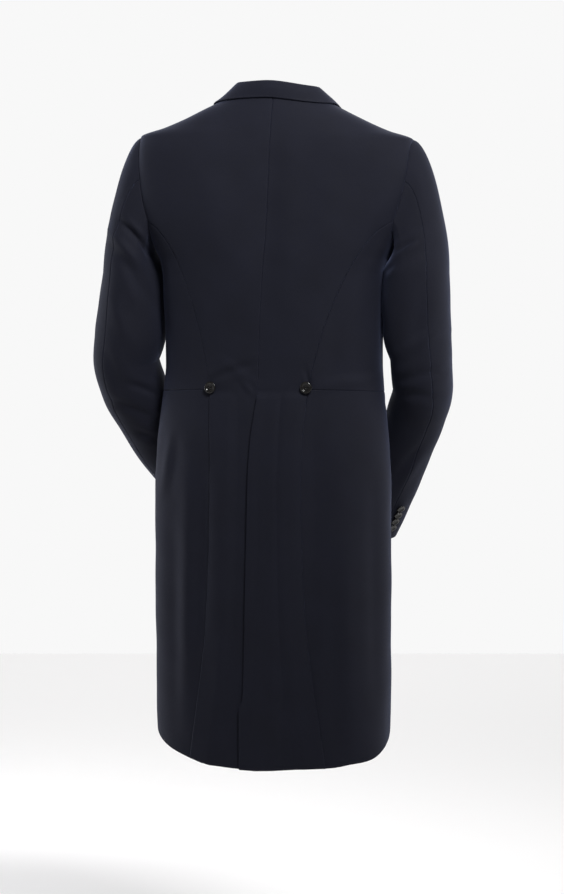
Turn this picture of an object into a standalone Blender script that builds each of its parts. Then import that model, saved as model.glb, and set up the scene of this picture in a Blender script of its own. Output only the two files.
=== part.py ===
"""A morning coat in a worn pose, open at neck, hem and cuffs: every cut piece is its own closed solid.

The coat faces -Y, the wearer's left is +X and the origin is the nape, on the centre back neck seam.
Sizes below are in millimetres and degrees; meshes are written in metres.

A pattern point is (angle, height): the angle runs from the centre back over the side (90) to the
centre front (180), and the same pattern serves both sides of the coat.
"""

import bpy
import numpy as np
from mathutils import Matrix, Vector

MM = 0.001

# Cloth and seams
WALL = 1.8
SEAM_GAP = 0.4
LAP_LIFT = 3.0
COLLAR_REST = 2.0
COLLAR_BOW = 1.8
LAPEL_LIFT = 2.9

# Heights measured down from the nape
NECK_POINT = 4.0
SHOULDER_POINT = -66.0
WAIST = -485.0
HEM = -1114.0

# Cells of the sheets, shared by the pieces that meet
NECK_CELLS = 4
SHOULDER_CELLS = 7
ARMHOLE_BACK_CELLS = 7
ARMHOLE_SIDE_CELLS = 7
ARMHOLE_FRONT_CELLS = 10
BODY_CELLS = 9
LAPEL_CELLS = 15
CAP_CELLS = 7
ARM_CELLS = 13

# Buttons
WAIST_BUTTON_RADIUS = 10.0
FRONT_BUTTON_RADIUS = 11.0
CUFF_BUTTON_RADIUS = 7.5
CUFF_BUTTON_STEP = 12.5
CUFF_BUTTON_TILT = 17.0
CUFF_BUTTON_COUNT = 4
FRONT_BUTTON_HEIGHT = -447.0
BUTTON_REST = 0.35
BUTTON_BACK = 0.86

SIDES = {"left": 1, "right": -1}

FORM_COLUMNS = ("height", "half_width", "back", "front", "back_power", "front_power", "shift", "turn")
FORM = (
    (20.0, 43.0, 48.0, 38.0, 2.2, 2.2, -9.0, -3.5),
    (5.0, 75.0, 54.0, 46.0, 2.2, 2.2, -9.0, -3.5),
    (-10.0, 101.0, 58.0, 52.0, 2.2, 2.2, -8.5, -3.5),
    (-30.0, 142.0, 63.5, 60.0, 2.3, 2.2, -7.5, -3.5),
    (-50.0, 187.0, 68.0, 67.0, 2.5, 2.3, -6.5, -3.5),
    (-66.0, 227.0, 71.0, 74.0, 2.9, 2.5, -6.0, -3.5),
    (-90.0, 229.0, 74.5, 84.0, 3.5, 2.7, -5.0, -3.5),
    (-120.0, 230.0, 77.0, 96.0, 3.8, 2.8, -4.5, -3.4),
    (-160.0, 227.0, 80.0, 111.0, 3.8, 2.8, -3.5, -3.2),
    (-205.0, 217.0, 82.0, 124.0, 3.5, 2.7, -2.5, -2.5),
    (-250.0, 200.0, 83.5, 132.0, 3.1, 2.6, -2.0, -1.0),
    (-275.0, 190.0, 84.0, 133.0, 2.9, 2.5, -1.5, 0.2),
    (-300.0, 187.0, 84.0, 133.0, 2.7, 2.4, -1.0, 1.0),
    (-350.0, 185.5, 84.0, 127.0, 2.5, 2.4, -0.5, 2.5),
    (-400.0, 184.5, 83.0, 117.0, 2.4, 2.3, 0.0, 3.8),
    (-444.0, 184.5, 82.5, 109.0, 2.4, 2.3, 0.0, 4.6),
    (-485.0, 188.0, 84.0, 103.0, 2.4, 2.2, 0.0, 5.0),
    (-530.0, 194.0, 91.0, 98.0, 2.4, 2.1, 0.0, 5.0),
    (-580.0, 199.0, 97.0, 95.0, 2.5, 2.0, 0.0, 5.0),
    (-640.0, 201.5, 100.0, 94.0, 2.5, 2.0, 0.0, 5.0),
    (-767.0, 202.0, 101.0, 96.0, 2.5, 2.0, 0.0, 5.0),
    (-900.0, 201.0, 100.0, 100.0, 2.5, 2.1, 0.0, 5.0),
    (-1000.0, 200.0, 98.0, 102.0, 2.5, 2.2, 0.0, 5.0),
    (-1114.0, 198.0, 96.0, 102.0, 2.5, 2.2, 0.0, 5.0),
)

# The right shoulder sits a little lower than the left one
RIGHT_DROP = 9.0

# The armhole as (height, distance behind the shoulder line), from the shoulder point round the back
ARMHOLE_BACK = ((-66, 0), (-70, 12), (-79, 24), (-95, 34), (-120, 42), (-150, 47), (-180, 50), (-205, 50))
ARMHOLE_SIDE = ((-205, 50), (-224, 43), (-239, 25), (-246, 0), (-245, -18), (-238, -38), (-224, -54))
ARMHOLE_FRONT = (
    (-224, -54), (-200, -62), (-170, -63), (-140, -58), (-115, -49), (-93, -36), (-77, -20), (-69, -8),
    (-66, 0),
)

NECKLINE = ((0, 0), (30, 0.3), (60, 1.6), (90, NECK_POINT))

# Pattern lines as (angle, height); None takes the point of a line that it meets
SIDE_FRONT_SEAM = ((None, None), (113, -290), (111, -360), (110, -430), (112, -489))
WAIST_SEAM_FRONT = ((112, -489), (140, -491), (165, -493), (183.4, -495))

# Pattern lines as (height, distance from the centre line)
SIDE_BACK_SEAM = (
    (-205, None), (-222, 184), (-245, 166), (-275, 149), (-310, 133), (-350, 118),
    (-395, 104), (-440, 93), (-485, 84),
)
TAIL_HEIGHTS = (
    -485, -500, -518, -545, -580, -625, -680, -740, -805, -870, -935, -1000, -1045, -1085, -1114,
)
PLEAT_LINE = (
    (-485, 84), (-560, 80), (-626, 78), (-771, 81), (-867, 86), (-970, 98), (-1060, 110), (-1114, 117),
)
PLEAT_TUCK = ((-485, 0), (-505, 0), (-565, 22), (-1114, 22))
VENT_OVER = (
    (-485, 0), (-496, 0), (-525, 3), (-570, 8), (-640, 11), (-767, 14), (-900, 17), (-992, 20),
    (-1013, 27), (-1114, 27),
)
VENT_UNDER = ((-485, 0), (-505, 0), (-560, 24), (-1114, 26))
ROLL_LINE = (
    (4, 75), (-14, 74), (-45, 71), (-90, 66), (-150, 58), (-215, 48), (-280, 36), (-345, 20), (-395, 2),
    (-422, -13),
)
FRONT_EDGE = ((-422, -13), (-445, -15), (-470, -14), (-495, None))
LAPEL_TOP = ((-78, 67), (-88, 103), (-70, 141))
LAPEL_EDGE = (
    (-70, 141), (-92, 144), (-125, 139), (-172, 128), (-225, 111), (-285, 88), (-345, 60), (-395, 28),
    (-421, 2),
)

# Lower edge of each skirt, from the waist at the front to the pleat: (angle, left height, right height)
SKIRT_EDGE = (
    (183.4, -495, -495), (176, -535, -535), (167, -600, -600), (156, -700, -700), (144, -800, -800),
    (130, -900, -905), (115, -980, -988), (100, -1027, -1045), (86, -1051, -1073),
)
SKIRT_HEM = ((86, -1051, -1073), (70, -1071, -1090), (52, -1090, -1102), (34, -1105, -1111))
# How much higher the hem runs than its plain line: distance from the centre back, rise
HEM_RISE = {
    "left": ((0, 5), (40, 8), (90, 12), (120, 14), (160, 16), (230, 22)),
    "right": ((0, 5), (40, 7), (89, 10), (150, 9), (185, 4), (230, 0)),
}
HEM_RISE_FROM = -940.0
# How much further the outer corner of each tail is rounded up, over the last 40 mm of its hem
TAIL_CORNER = {"left": 7.0, "right": 2.0}

# The seams of the two-piece sleeve, as columns of its rings: 0 is outside, 6 behind, 12 inside
RING_CELLS = ARMHOLE_BACK_CELLS + ARMHOLE_SIDE_CELLS + ARMHOLE_FRONT_CELLS
HIND_SEAM = 4
FORE_SEAM = 16
CUFF_BUTTON_COLUMN = 3

# The middle of each sleeve from the armhole to the cuff
SPINE_COLUMNS = ("x", "y", "z", "half_width", "half_depth")
SPINES = {
    "left": (
        (240.5, -3.0, -292.0, 50.5, 66.0),
        (245.0, -6.0, -340.0, 54.0, 64.0),
        (250.0, -10.0, -390.0, 57.0, 62.0),
        (255.0, -18.0, -434.0, 58.0, 60.0),
        (250.5, -38.0, -480.0, 55.5, 57.0),
        (236.0, -68.0, -527.0, 52.0, 54.0),
        (216.0, -102.0, -575.0, 50.0, 52.0),
        (191.0, -137.0, -622.0, 48.0, 49.0),
        (167.0, -170.0, -668.0, 46.0, 47.0),
    ),
    "right": (
        (-243.5, -3.0, -292.0, 51.0, 66.0),
        (-244.0, -6.0, -340.0, 52.0, 64.0),
        (-244.0, -10.0, -390.0, 52.5, 62.0),
        (-246.0, -16.0, -434.0, 51.0, 60.0),
        (-246.0, -32.0, -478.0, 50.0, 57.0),
        (-231.0, -56.0, -522.0, 49.5, 52.0),
        (-209.0, -80.0, -572.0, 48.0, 49.0),
        (-187.0, -101.0, -622.0, 46.5, 47.0),
        (-163.0, -117.0, -670.0, 45.0, 46.0),
        (-141.0, -130.0, -714.0, 44.0, 45.0),
    ),
}

# Collar by station, from the centre back to the gorge: share of the length, rise of the fold above
# the neck seam, lean of the fold towards the neck
COLLAR_STATIONS = 12
COLLAR_FOLD = ((0.0, 22.5, 2.0), (0.3, 22.0, 4.0), (0.5, 18.0, 7.0), (0.75, 9.0, 3.0), (1.0, 4.0, 1.0))
COLLAR_EDGE = (
    (0, -6), (22, -6.5), (50, -7), (80, -7), (100, -9), (125, -24), (145, -52), (157.3, -83),
)
FOLD_RADIUS = 2.2


def column(table, columns, name):
    """One named column of a table, with the heights turned to rise."""
    values = np.array([row[columns.index(name)] for row in table], float)
    return values[::-1]


def smooth(at, knots, values):
    """Monotone cubic through the knots, so nothing overshoots between two rows of a table."""
    at = np.asarray(at, float)
    knots = np.asarray(knots, float)
    values = np.asarray(values, float)
    step = np.diff(knots)
    slope = np.diff(values) / step
    tangent = np.empty(len(knots))
    tangent[0] = slope[0]
    tangent[-1] = slope[-1]
    same_way = slope[:-1] * slope[1:] > 0
    total = np.where(same_way, slope[:-1] + slope[1:], 1.0)
    tangent[1:-1] = np.where(same_way, 2 * slope[:-1] * slope[1:] / total, 0.0)
    index = np.clip(np.searchsorted(knots, at, side="right") - 1, 0, len(knots) - 2)
    t = (at - knots[index]) / step[index]
    start = values[index] * (1 + 2 * t) * (1 - t) ** 2 + values[index + 1] * t**2 * (3 - 2 * t)
    bend = tangent[index] * t * (1 - t) ** 2 + tangent[index + 1] * t**2 * (t - 1)
    return start + bend * step[index]


def fade(value, start, end):
    """0 at start and 1 at end, with soft ends."""
    share = np.clip((np.asarray(value, float) - start) / (end - start), 0, 1)
    return share * share * (3 - 2 * share)


def form_value(name, height):
    knots = column(FORM, FORM_COLUMNS, "height")
    return smooth(height, knots, column(FORM, FORM_COLUMNS, name))


def body(angle, height):
    """Points of the body form, before the origin is moved to the nape."""
    sine = np.sin(angle)
    cosine = np.cos(angle)
    behind = cosine >= 0
    depth = np.where(behind, form_value("back", height), form_value("front", height))
    power = 2 / np.where(behind, form_value("back_power", height), form_value("front_power", height))
    x = form_value("half_width", height) * np.sign(sine) * np.abs(sine) ** power
    y = depth * np.sign(cosine) * np.abs(cosine) ** power
    turn = np.radians(form_value("turn", height))
    turned_x = x * np.cos(turn) + y * np.sin(turn) + form_value("shift", height)
    turned_y = y * np.cos(turn) - x * np.sin(turn)
    drop = RIGHT_DROP * fade(-x, -20, 80) * fade(height, -330, -100)
    return np.stack([turned_x, turned_y, height - drop], axis=-1)


NAPE = body(np.array(0.0), np.array(0.0))


def unit(vectors):
    return vectors / np.linalg.norm(vectors, axis=-1, keepdims=True)


def on_form(angle, height, lift=0.0):
    """Points on the form and the outward directions there, both moved out by lift."""
    angle = np.asarray(angle, float)
    height = np.asarray(height, float)
    turn, rise = 0.004, 0.5
    along = body(angle + turn, height) - body(angle - turn, height)
    up = body(angle, height + rise) - body(angle, height - rise)
    normal = unit(np.cross(up, along))
    points = body(angle, height) - NAPE
    return points + normal * np.asarray(lift, float)[..., None], normal


def angle_at(x, height, front=False):
    """Angle of the pattern point at a distance from the centre line."""
    power = form_value("front_power" if front else "back_power", height)
    share = np.clip(np.abs(x) / form_value("half_width", height), 0, 1)
    angle = np.arcsin(share ** (power / 2)) * np.where(np.asarray(x) < 0, -1.0, 1.0)
    return np.pi - angle if front else angle


def distance_of(angle, height, front=False):
    """Distance of a pattern point from the centre line."""
    power = form_value("front_power" if front else "back_power", height)
    sine = np.sin(angle)
    return form_value("half_width", height) * np.sign(sine) * np.abs(sine) ** (2 / power)


def resample(line, cells):
    """Points evenly spread along a pattern line, which is given in radians."""
    line = np.asarray(line, float)
    steps = np.linalg.norm(np.diff(body(line[:, 0], line[:, 1]), axis=0), axis=1)
    length = np.concatenate([[0.0], np.cumsum(steps)])
    at = np.linspace(0, length[-1], cells + 1)
    return np.stack([smooth(at, length, line[:, 0]), smooth(at, length, line[:, 1])], axis=-1)


def by_angle(line, cells):
    return resample([(np.radians(angle), height) for angle, height in line], cells)


def by_depth(line, cells):
    """A line of (height, distance behind the shoulder line) rows."""
    rows = []
    for height, depth in line:
        face = "back" if depth >= 0 else "front"
        share = min(abs(depth) / float(form_value(face, height)), 1.0)
        cosine = share ** (float(form_value(face + "_power", height)) / 2)
        angle = np.arccos(cosine)
        rows.append((angle if depth >= 0 else np.pi - angle, height))
    return resample(rows, cells)


def by_distance(line, cells, front=False, start=None, end=None):
    """A line of (height, distance) rows; None takes the pattern point of a line that it meets."""
    rows = []
    for height, distance in line:
        if distance is None:
            rows.append(start if not rows else end)
        else:
            rows.append((float(angle_at(distance, height, front)), height))
    return resample(rows, cells)


def at_heights(heights, distances, front=False):
    heights = np.asarray(heights, float)
    return np.stack([angle_at(distances, heights, front), heights], axis=-1)


def table_at(table, heights):
    rows = np.array(table, float)[::-1]
    return smooth(np.asarray(heights, float), rows[:, 0], rows[:, 1])


def fill(top, bottom, near, far):
    """Grid of rows between four edges that share their corners."""
    u = np.linspace(0, 1, len(top))[None, :, None]
    v = np.linspace(0, 1, len(near))[:, None, None]
    across = (1 - u) * near[:, None] + u * far[:, None]
    down = (1 - v) * top[None] + v * bottom[None]
    corners = (1 - u) * ((1 - v) * top[0] + v * bottom[0]) + u * ((1 - v) * top[-1] + v * bottom[-1])
    return across + down - corners


def fill_flat(top, bottom, near, far, front=False):
    """The same grid, spread evenly as it is seen from the back or the front."""
    edges = []
    for line in (top, bottom, near, far):
        edges.append(np.stack([distance_of(line[:, 0], line[:, 1], front), line[:, 1]], axis=-1))
    grid = fill(*edges)
    even = np.linspace(grid[:, 0, 0], grid[:, -1, 0], grid.shape[1], axis=-1)
    settled = fade(np.arange(len(grid)), 0, 3)[:, None]
    grid[..., 0] += (even - grid[..., 0]) * settled
    angle = angle_at(grid[..., 0], grid[..., 1], front)
    result = np.stack([angle, grid[..., 1]], axis=-1)
    result[0] = top
    result[-1] = bottom
    result[:, 0] = near
    result[:, -1] = far
    return result


def draw_in(grid, normal):
    """Moves the border points of a sheet into it, which leaves the seam gap to its neighbours."""
    moved = grid.copy()
    half = SEAM_GAP / 2
    moved[:, 0] += unit(grid[:, 1] - grid[:, 0]) * half
    moved[:, -1] += unit(grid[:, -2] - grid[:, -1]) * half
    moved[0] += unit(grid[1] - grid[0]) * half
    moved[-1] += unit(grid[-2] - grid[-1]) * half
    return moved, moved - normal * WALL


def sheet_faces(rows, columns):
    """Faces of a closed sheet whose outer grid comes before its inner grid."""
    inner = rows * columns

    def at(row, col, layer=0):
        return row * columns + col + layer * inner

    faces = []
    for row in range(rows - 1):
        for col in range(columns - 1):
            face = [at(row, col), at(row + 1, col), at(row + 1, col + 1), at(row, col + 1)]
            faces.append(face)
            faces.append([face[0] + inner, face[3] + inner, face[2] + inner, face[1] + inner])
    border = [(0, col) for col in range(columns - 1)]
    border += [(row, columns - 1) for row in range(rows - 1)]
    border += [(rows - 1, col) for col in range(columns - 1, 0, -1)]
    border += [(row, 0) for row in range(rows - 1, 0, -1)]
    for here, after in zip(border, border[1:] + border[:1]):
        faces.append([at(*here), at(*after), at(*after, layer=1), at(*here, layer=1)])
    return faces


def volume(points, faces):
    total = 0.0
    for face in faces:
        for second, third in zip(face[1:], face[2:]):
            total += np.dot(points[face[0]], np.cross(points[second], points[third]))
    return total


def add_object(name, points, faces, material):
    mesh = bpy.data.meshes.new(name)
    mesh.from_pydata([tuple(point) for point in points], [], faces)
    mesh.update()
    mesh.shade_smooth()
    mesh.set_sharp_from_angle(angle=np.radians(40))
    obj = bpy.data.objects.new(name, mesh)
    obj.data.materials.append(material)
    bpy.data.collections["morning_coat"].objects.link(obj)
    return obj


def add_sheet(name, outer, inner, material):
    """A closed cloth solid between two grids of the same shape, in millimetres."""
    rows, columns = outer.shape[:2]
    points = np.concatenate([outer.reshape(-1, 3), inner.reshape(-1, 3)]) * MM
    faces = sheet_faces(rows, columns)
    if volume(points, faces) < 0:
        faces = [face[::-1] for face in faces]
    return add_object(name, points, faces, material)


def add_panel(name, grid, side, lift, material):
    """A cloth panel from a pattern grid, mirrored by the sign of its angles."""
    points, normal = on_form(grid[..., 0] * side, grid[..., 1], lift)
    outer, inner = draw_in(points, normal)
    return add_sheet(name, outer, inner, material)


def grid_normals(grid, closed=False):
    """Directions square to a grid of points, all on the same side of it."""
    if closed:
        along = np.roll(grid, -1, axis=1) - np.roll(grid, 1, axis=1)
    else:
        along = np.gradient(grid, axis=1)
    down = np.gradient(grid, axis=0)
    return unit(np.cross(along, down))


def make_material(name, colour, roughness, metallic=0.0):
    material = bpy.data.materials.new(name)
    material.use_nodes = True
    shader = material.node_tree.nodes["Principled BSDF"]
    shader.inputs["Base Color"].default_value = (*colour, 1.0)
    shader.inputs["Roughness"].default_value = roughness
    shader.inputs["Metallic"].default_value = metallic
    material.diffuse_color = (*colour, 1.0)
    return material


def pattern_lines():
    """Every seam line once, so that the pieces on both sides of it share its points."""
    lines = {
        "neckline": by_angle(NECKLINE, NECK_CELLS),
        "shoulder": by_angle(((90, NECK_POINT), (90, SHOULDER_POINT)), SHOULDER_CELLS),
        "armhole_back": by_depth(ARMHOLE_BACK, ARMHOLE_BACK_CELLS),
        "armhole_side": by_depth(ARMHOLE_SIDE, ARMHOLE_SIDE_CELLS),
        "armhole_front": by_depth(ARMHOLE_FRONT, ARMHOLE_FRONT_CELLS),
        "waist_front": by_angle(WAIST_SEAM_FRONT, SHOULDER_CELLS),
    }
    side_front = [tuple(lines["armhole_front"][0])]
    side_front += [(np.radians(angle), height) for angle, height in SIDE_FRONT_SEAM[1:]]
    lines["side_front"] = resample(side_front, BODY_CELLS)
    lines["side_back"] = by_distance(SIDE_BACK_SEAM, BODY_CELLS, start=lines["armhole_back"][-1])
    waist_side = ((lines["side_back"][-1][0], WAIST), (np.radians(60), -487), lines["side_front"][-1])
    lines["waist_side"] = resample(waist_side, ARMHOLE_SIDE_CELLS)
    lines["roll"] = by_distance(ROLL_LINE, LAPEL_CELLS, front=True)
    lines["roll"][0] = lines["shoulder"][0]
    front_cells = ARMHOLE_FRONT_CELLS + BODY_CELLS - LAPEL_CELLS
    lines["front_edge"] = by_distance(FRONT_EDGE, front_cells, front=True, end=lines["waist_front"][-1])
    return lines


def joined(*lines):
    """One line from several that follow on, without doubling the points where they meet."""
    parts = [lines[0]] + [line[1:] for line in lines[1:]]
    return np.concatenate(parts)


def back_lift(side, distance, height):
    """The tails lie over the skirts at the side pleat, and the right tail over the left one."""
    below = fade(height, WAIST - 1, WAIST - 17)
    pleat = table_at(PLEAT_LINE, np.clip(height, HEM, WAIST))
    over = fade(distance, pleat - 52, pleat - 29)
    if side < 0:
        over = np.maximum(over, fade(distance, 50, 30))
    return LAP_LIFT * below * over


def front_lift(side, angle, height):
    """The left front lies over the right one at the button."""
    if side < 0:
        return np.zeros_like(angle)
    over_lapel = LAPEL_LIFT * fade(height, -325, -392) * fade(height, -486, -424)
    near = fade(distance_of(angle, height, front=True), 66, 26) * (angle > np.pi / 2)
    return (LAP_LIFT + over_lapel) * near


def raised(grid, side, tail=False):
    """The grid of a back or a skirt with its hem swung up towards the side."""
    side_name = "left" if side > 0 else "right"
    table = np.array(HEM_RISE[side_name], float)
    distance = np.abs(distance_of(grid[..., 0], grid[..., 1]))
    rise = smooth(distance, table[:, 0], table[:, 1]) * fade(grid[..., 1], HEM_RISE_FROM, HEM)
    if tail:
        edge = table_at(PLEAT_LINE, np.clip(grid[..., 1], HEM, WAIST))
        rise += TAIL_CORNER[side_name] * fade(distance - edge, -40, 0) * fade(grid[..., 1], -1040, HEM)
    return np.stack([grid[..., 0], grid[..., 1] + rise], axis=-1)


def add_back(name, side, lines, material):
    heights = np.array(TAIL_HEIGHTS, float)
    lap = table_at(VENT_OVER if side < 0 else VENT_UNDER, heights)
    upper = np.concatenate([
        np.linspace(0, -185, ARMHOLE_BACK_CELLS + 1),
        np.linspace(-185, WAIST, BODY_CELLS + 1)[1:],
    ])
    centre = joined(np.stack([np.zeros_like(upper), upper], axis=-1), at_heights(heights, -lap))
    tail_edge = at_heights(heights, table_at(PLEAT_LINE, heights))
    tail_edge[0] = lines["side_back"][-1]
    far = joined(lines["armhole_back"], lines["side_back"], tail_edge)
    hem = resample((centre[-1], (0.12, HEM), far[-1]), NECK_CELLS + SHOULDER_CELLS)
    grid = fill_flat(joined(lines["neckline"], lines["shoulder"]), hem, centre, far)
    grid = raised(grid, side, tail=True)
    lift = back_lift(side, distance_of(grid[..., 0], grid[..., 1]), grid[..., 1])
    return add_panel(name, grid, side, lift, material)


def add_side_body(name, side, lines, material):
    grid = fill(lines["armhole_side"], lines["waist_side"], lines["side_back"], lines["side_front"])
    return add_panel(name, grid, side, np.zeros(grid.shape[:2]), material)


def add_front(name, side, lines, material):
    near = joined(lines["roll"], lines["front_edge"])
    far = joined(lines["armhole_front"][::-1], lines["side_front"])
    grid = fill_flat(lines["shoulder"], lines["waist_front"][::-1], near, far, front=True)
    return add_panel(name, grid, side, front_lift(side, grid[..., 0], grid[..., 1]), material)


def add_skirt(name, side, lines, material):
    heights = np.array(TAIL_HEIGHTS, float)
    heights[-1] += 1
    tuck = table_at(PLEAT_TUCK, heights)
    near = at_heights(heights, table_at(PLEAT_LINE, heights) - tuck)
    near[0] = lines["side_back"][-1]
    which = 1 if side > 0 else 2
    far = by_angle([(row[0], row[which]) for row in SKIRT_EDGE], len(heights) - 1)
    far[0] = lines["waist_front"][-1]
    top = joined(lines["waist_side"], lines["waist_front"])
    corner = far[-1]
    hem_rows = [tuple(near[-1])]
    hem_rows += [(np.radians(row[0]), row[which]) for row in reversed(SKIRT_HEM[1:])]
    hem_rows.append(tuple(corner))
    hem = resample(hem_rows, len(top) - 1)
    grid = raised(fill(top, hem, near, far), side)
    return add_panel(name, grid, side, front_lift(side, grid[..., 0], grid[..., 1]), material)


def add_lapel(name, side, material):
    """The turned-back lapel: it rolls round the front's edge and rests on the front."""
    roll_rows = ((-78, 67),) + ROLL_LINE[3:]
    near = by_distance(roll_rows, LAPEL_CELLS, front=True)
    far = by_distance(LAPEL_EDGE, LAPEL_CELLS, front=True)
    top = by_distance(LAPEL_TOP, 6, front=True)
    bottom = resample((near[-1], far[-1]), 6)
    grid = fill_flat(top, bottom, near, far, front=True)
    lift = np.full(grid.shape[:2], LAPEL_LIFT)
    if side > 0:
        lift += front_lift(side, grid[..., 0], grid[..., 1])
    points, normal = on_form(grid[..., 0] * side, grid[..., 1], lift)
    beyond = unit(points[:, 0] - points[:, 1])
    base = points[:, 0] - normal[:, 0] * LAPEL_LIFT
    edge = base + beyond * (WALL + 0.7)
    turn = base + beyond * (WALL + 0.6) + normal[:, 0] * (LAPEL_LIFT * 0.62)
    crest = base + beyond * (WALL * 0.3) + normal[:, 0] * (LAPEL_LIFT + 0.35)
    outer = np.concatenate([edge[:, None], turn[:, None], crest[:, None], points[:, 1:]], axis=1)
    square = grid_normals(outer)
    if np.sum(square * np.concatenate([normal[:, :1], normal[:, :1], normal], axis=1)) < 0:
        square = -square
    return add_sheet(name, outer, outer - square * WALL, material)


def add_collar(name, material):
    """Stand and fall in one piece, swept round the neck from gorge to gorge."""
    half = np.linspace(0, 1, COLLAR_STATIONS + 1)
    foot_back = [(np.radians(angle), height) for angle, height in NECKLINE]
    foot_front = [(float(angle_at(x, z, True)), z) for z, x in ((-14, 73.5), (-45, 70), (-73.5, 67.5))]
    foot = resample(foot_back + foot_front, COLLAR_STATIONS)
    edge = by_angle(COLLAR_EDGE, COLLAR_STATIONS)
    fold = np.array(COLLAR_FOLD)
    rise = smooth(half, fold[:, 0], fold[:, 1])
    lean = smooth(half, fold[:, 0], fold[:, 2])
    sections = []
    for side in (-1, 1):
        foot_point, foot_normal = on_form(foot[:, 0] * side, foot[:, 1], -WALL / 2)
        edge_point, edge_normal = on_form(edge[:, 0] * side, edge[:, 1], COLLAR_REST + WALL / 2)
        forward = fade(half, 0.45, 0.95)[:, None]
        away = foot_normal
        up = unit(np.array([0.0, 0.0, 1.0]) * (1.1 - forward) + away * forward)
        level = away * np.array([1.0, 1.0, 0.0])
        top = foot_point + up * rise[:, None] - unit(level) * lean[:, None]
        start = foot_point + up * (WALL / 2 + 1.2 + 0.9 * forward)
        to_start = unit(start - top)
        to_edge = unit(edge_point - top)
        apex = -unit(to_start + to_edge)
        across = unit(to_edge - apex * np.sum(to_edge * apex, axis=1, keepdims=True))
        leg = FOLD_RADIUS * 1.3
        profile = [
            start,
            (start + top) / 2 - across * FOLD_RADIUS * 0.5,
            top + to_start * leg - across * FOLD_RADIUS,
            top + to_start * leg * 0.35 - across * FOLD_RADIUS * 0.75,
            top,
            top + to_edge * leg * 0.35 + across * FOLD_RADIUS * 0.75,
            top + to_edge * leg + across * FOLD_RADIUS,
            (top + edge_point) / 2 + across * FOLD_RADIUS * 1.2 + edge_normal * forward * COLLAR_BOW,
            edge_point,
        ]
        section = np.stack(profile, axis=1)
        sections.append(section[::-1] if side < 0 else section[1:])
    centre = np.concatenate(sections)
    square = grid_normals(centre)
    return add_sheet(name, centre + square * WALL / 2, centre - square * WALL / 2, material)


def sleeve_grid(side_name, lines):
    """Rings of the sleeve's outer face, from the armhole to the cuff, with ring 0 at the armhole."""
    side = SIDES[side_name]
    armhole = joined(lines["armhole_back"], lines["armhole_side"], lines["armhole_front"])[:-1]
    turn = np.arange(RING_CELLS) * 2 * np.pi / RING_CELLS
    start, normal = on_form(armhole[:, 0] * side, armhole[:, 1])
    under = ((1 - np.cos(turn)) / 2)[:, None]
    out = np.array([side, 0.0, 0.0])
    down = np.array([0.0, 0.0, -1.0])
    leave = unit(out * (1 - 0.82 * under) + down * (0.16 + 0.9 * under))
    start = start + leave * SEAM_GAP + normal * (WALL + 0.9) * under + out * 0.1

    spine = np.array(SPINES[side_name], float)
    centre = spine[:, :3] - NAPE
    length = np.concatenate([[0.0], np.cumsum(np.linalg.norm(np.diff(centre, axis=0), axis=1))])
    at = np.linspace(0, length[-1], ARM_CELLS + 1)
    path = np.stack([smooth(at, length, centre[:, axis]) for axis in range(3)], axis=-1)
    half_width = smooth(at, length, spine[:, SPINE_COLUMNS.index("half_width")])
    half_depth = smooth(at, length, spine[:, SPINE_COLUMNS.index("half_depth")])
    ahead = unit(np.gradient(path, axis=0))
    across = unit(out - ahead * np.sum(out * ahead, axis=1, keepdims=True))
    behind = np.cross(across, ahead) * side
    arm = (
        path[:, None]
        + across[:, None] * (half_width[:, None] * np.cos(turn))[..., None]
        + behind[:, None] * (half_depth[:, None] * np.sin(turn))[..., None]
    )

    reach = np.linalg.norm(arm[0] - start, axis=1, keepdims=True)
    share = np.linspace(0, 1, CAP_CELLS + 1)[:-1, None, None]
    rise_start = 2 * share**3 - 3 * share**2 + 1
    bend_start = share**3 - 2 * share**2 + share
    bend_end = share**3 - share**2
    pull = leave * reach * (0.42 + 0.35 * under)
    settle = ahead[0] * reach * 0.95
    cap = rise_start * start + bend_start * pull + (1 - rise_start) * arm[0] + bend_end * settle
    return np.concatenate([cap, arm])


def add_sleeve(side_name, lines, material):
    """The two pieces of a sleeve; returns its rings and their outward directions."""
    grid = sleeve_grid(side_name, lines)
    square = grid_normals(grid, closed=True)
    outward = grid - grid.mean(axis=1, keepdims=True)
    if np.sum(square * outward) < 0:
        square = -square
    pieces = {
        "topsleeve_" + side_name: np.arange(FORE_SEAM, RING_CELLS + HIND_SEAM + 1) % RING_CELLS,
        "undersleeve_" + side_name: np.arange(HIND_SEAM, FORE_SEAM + 1),
    }
    for name, columns in pieces.items():
        outer, inner = draw_in(grid[:, columns], square[:, columns])
        add_sheet(name, outer, inner, material)
    return grid, square


def button_mesh(name, radius, thickness, steps, material):
    """A turned button with a raised rim and a dished middle, standing on its back."""
    profile = (
        (0.0, thickness * 0.55), (0.50, thickness * 0.55), (0.66, thickness * 0.92), (0.80, thickness),
        (0.93, thickness * 0.88), (1.0, thickness * 0.5), (BUTTON_BACK, 0.0), (0.0, 0.0),
    )
    mesh = bpy.data.meshes.new(name)
    points = [(share * radius * MM, 0.0, height * MM) for share, height in profile]
    mesh.from_pydata(points, [(index, index + 1) for index in range(len(points) - 1)], [])
    obj = bpy.data.objects.new(name, mesh)
    obj.data.materials.append(material)
    bpy.data.collections["morning_coat"].objects.link(obj)
    turned = obj.modifiers.new("turned", "SCREW")
    turned.angle = 2 * np.pi
    turned.steps = steps
    turned.render_steps = steps
    turned.use_merge_vertices = True
    turned.merge_threshold = 0.00001
    return obj


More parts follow.
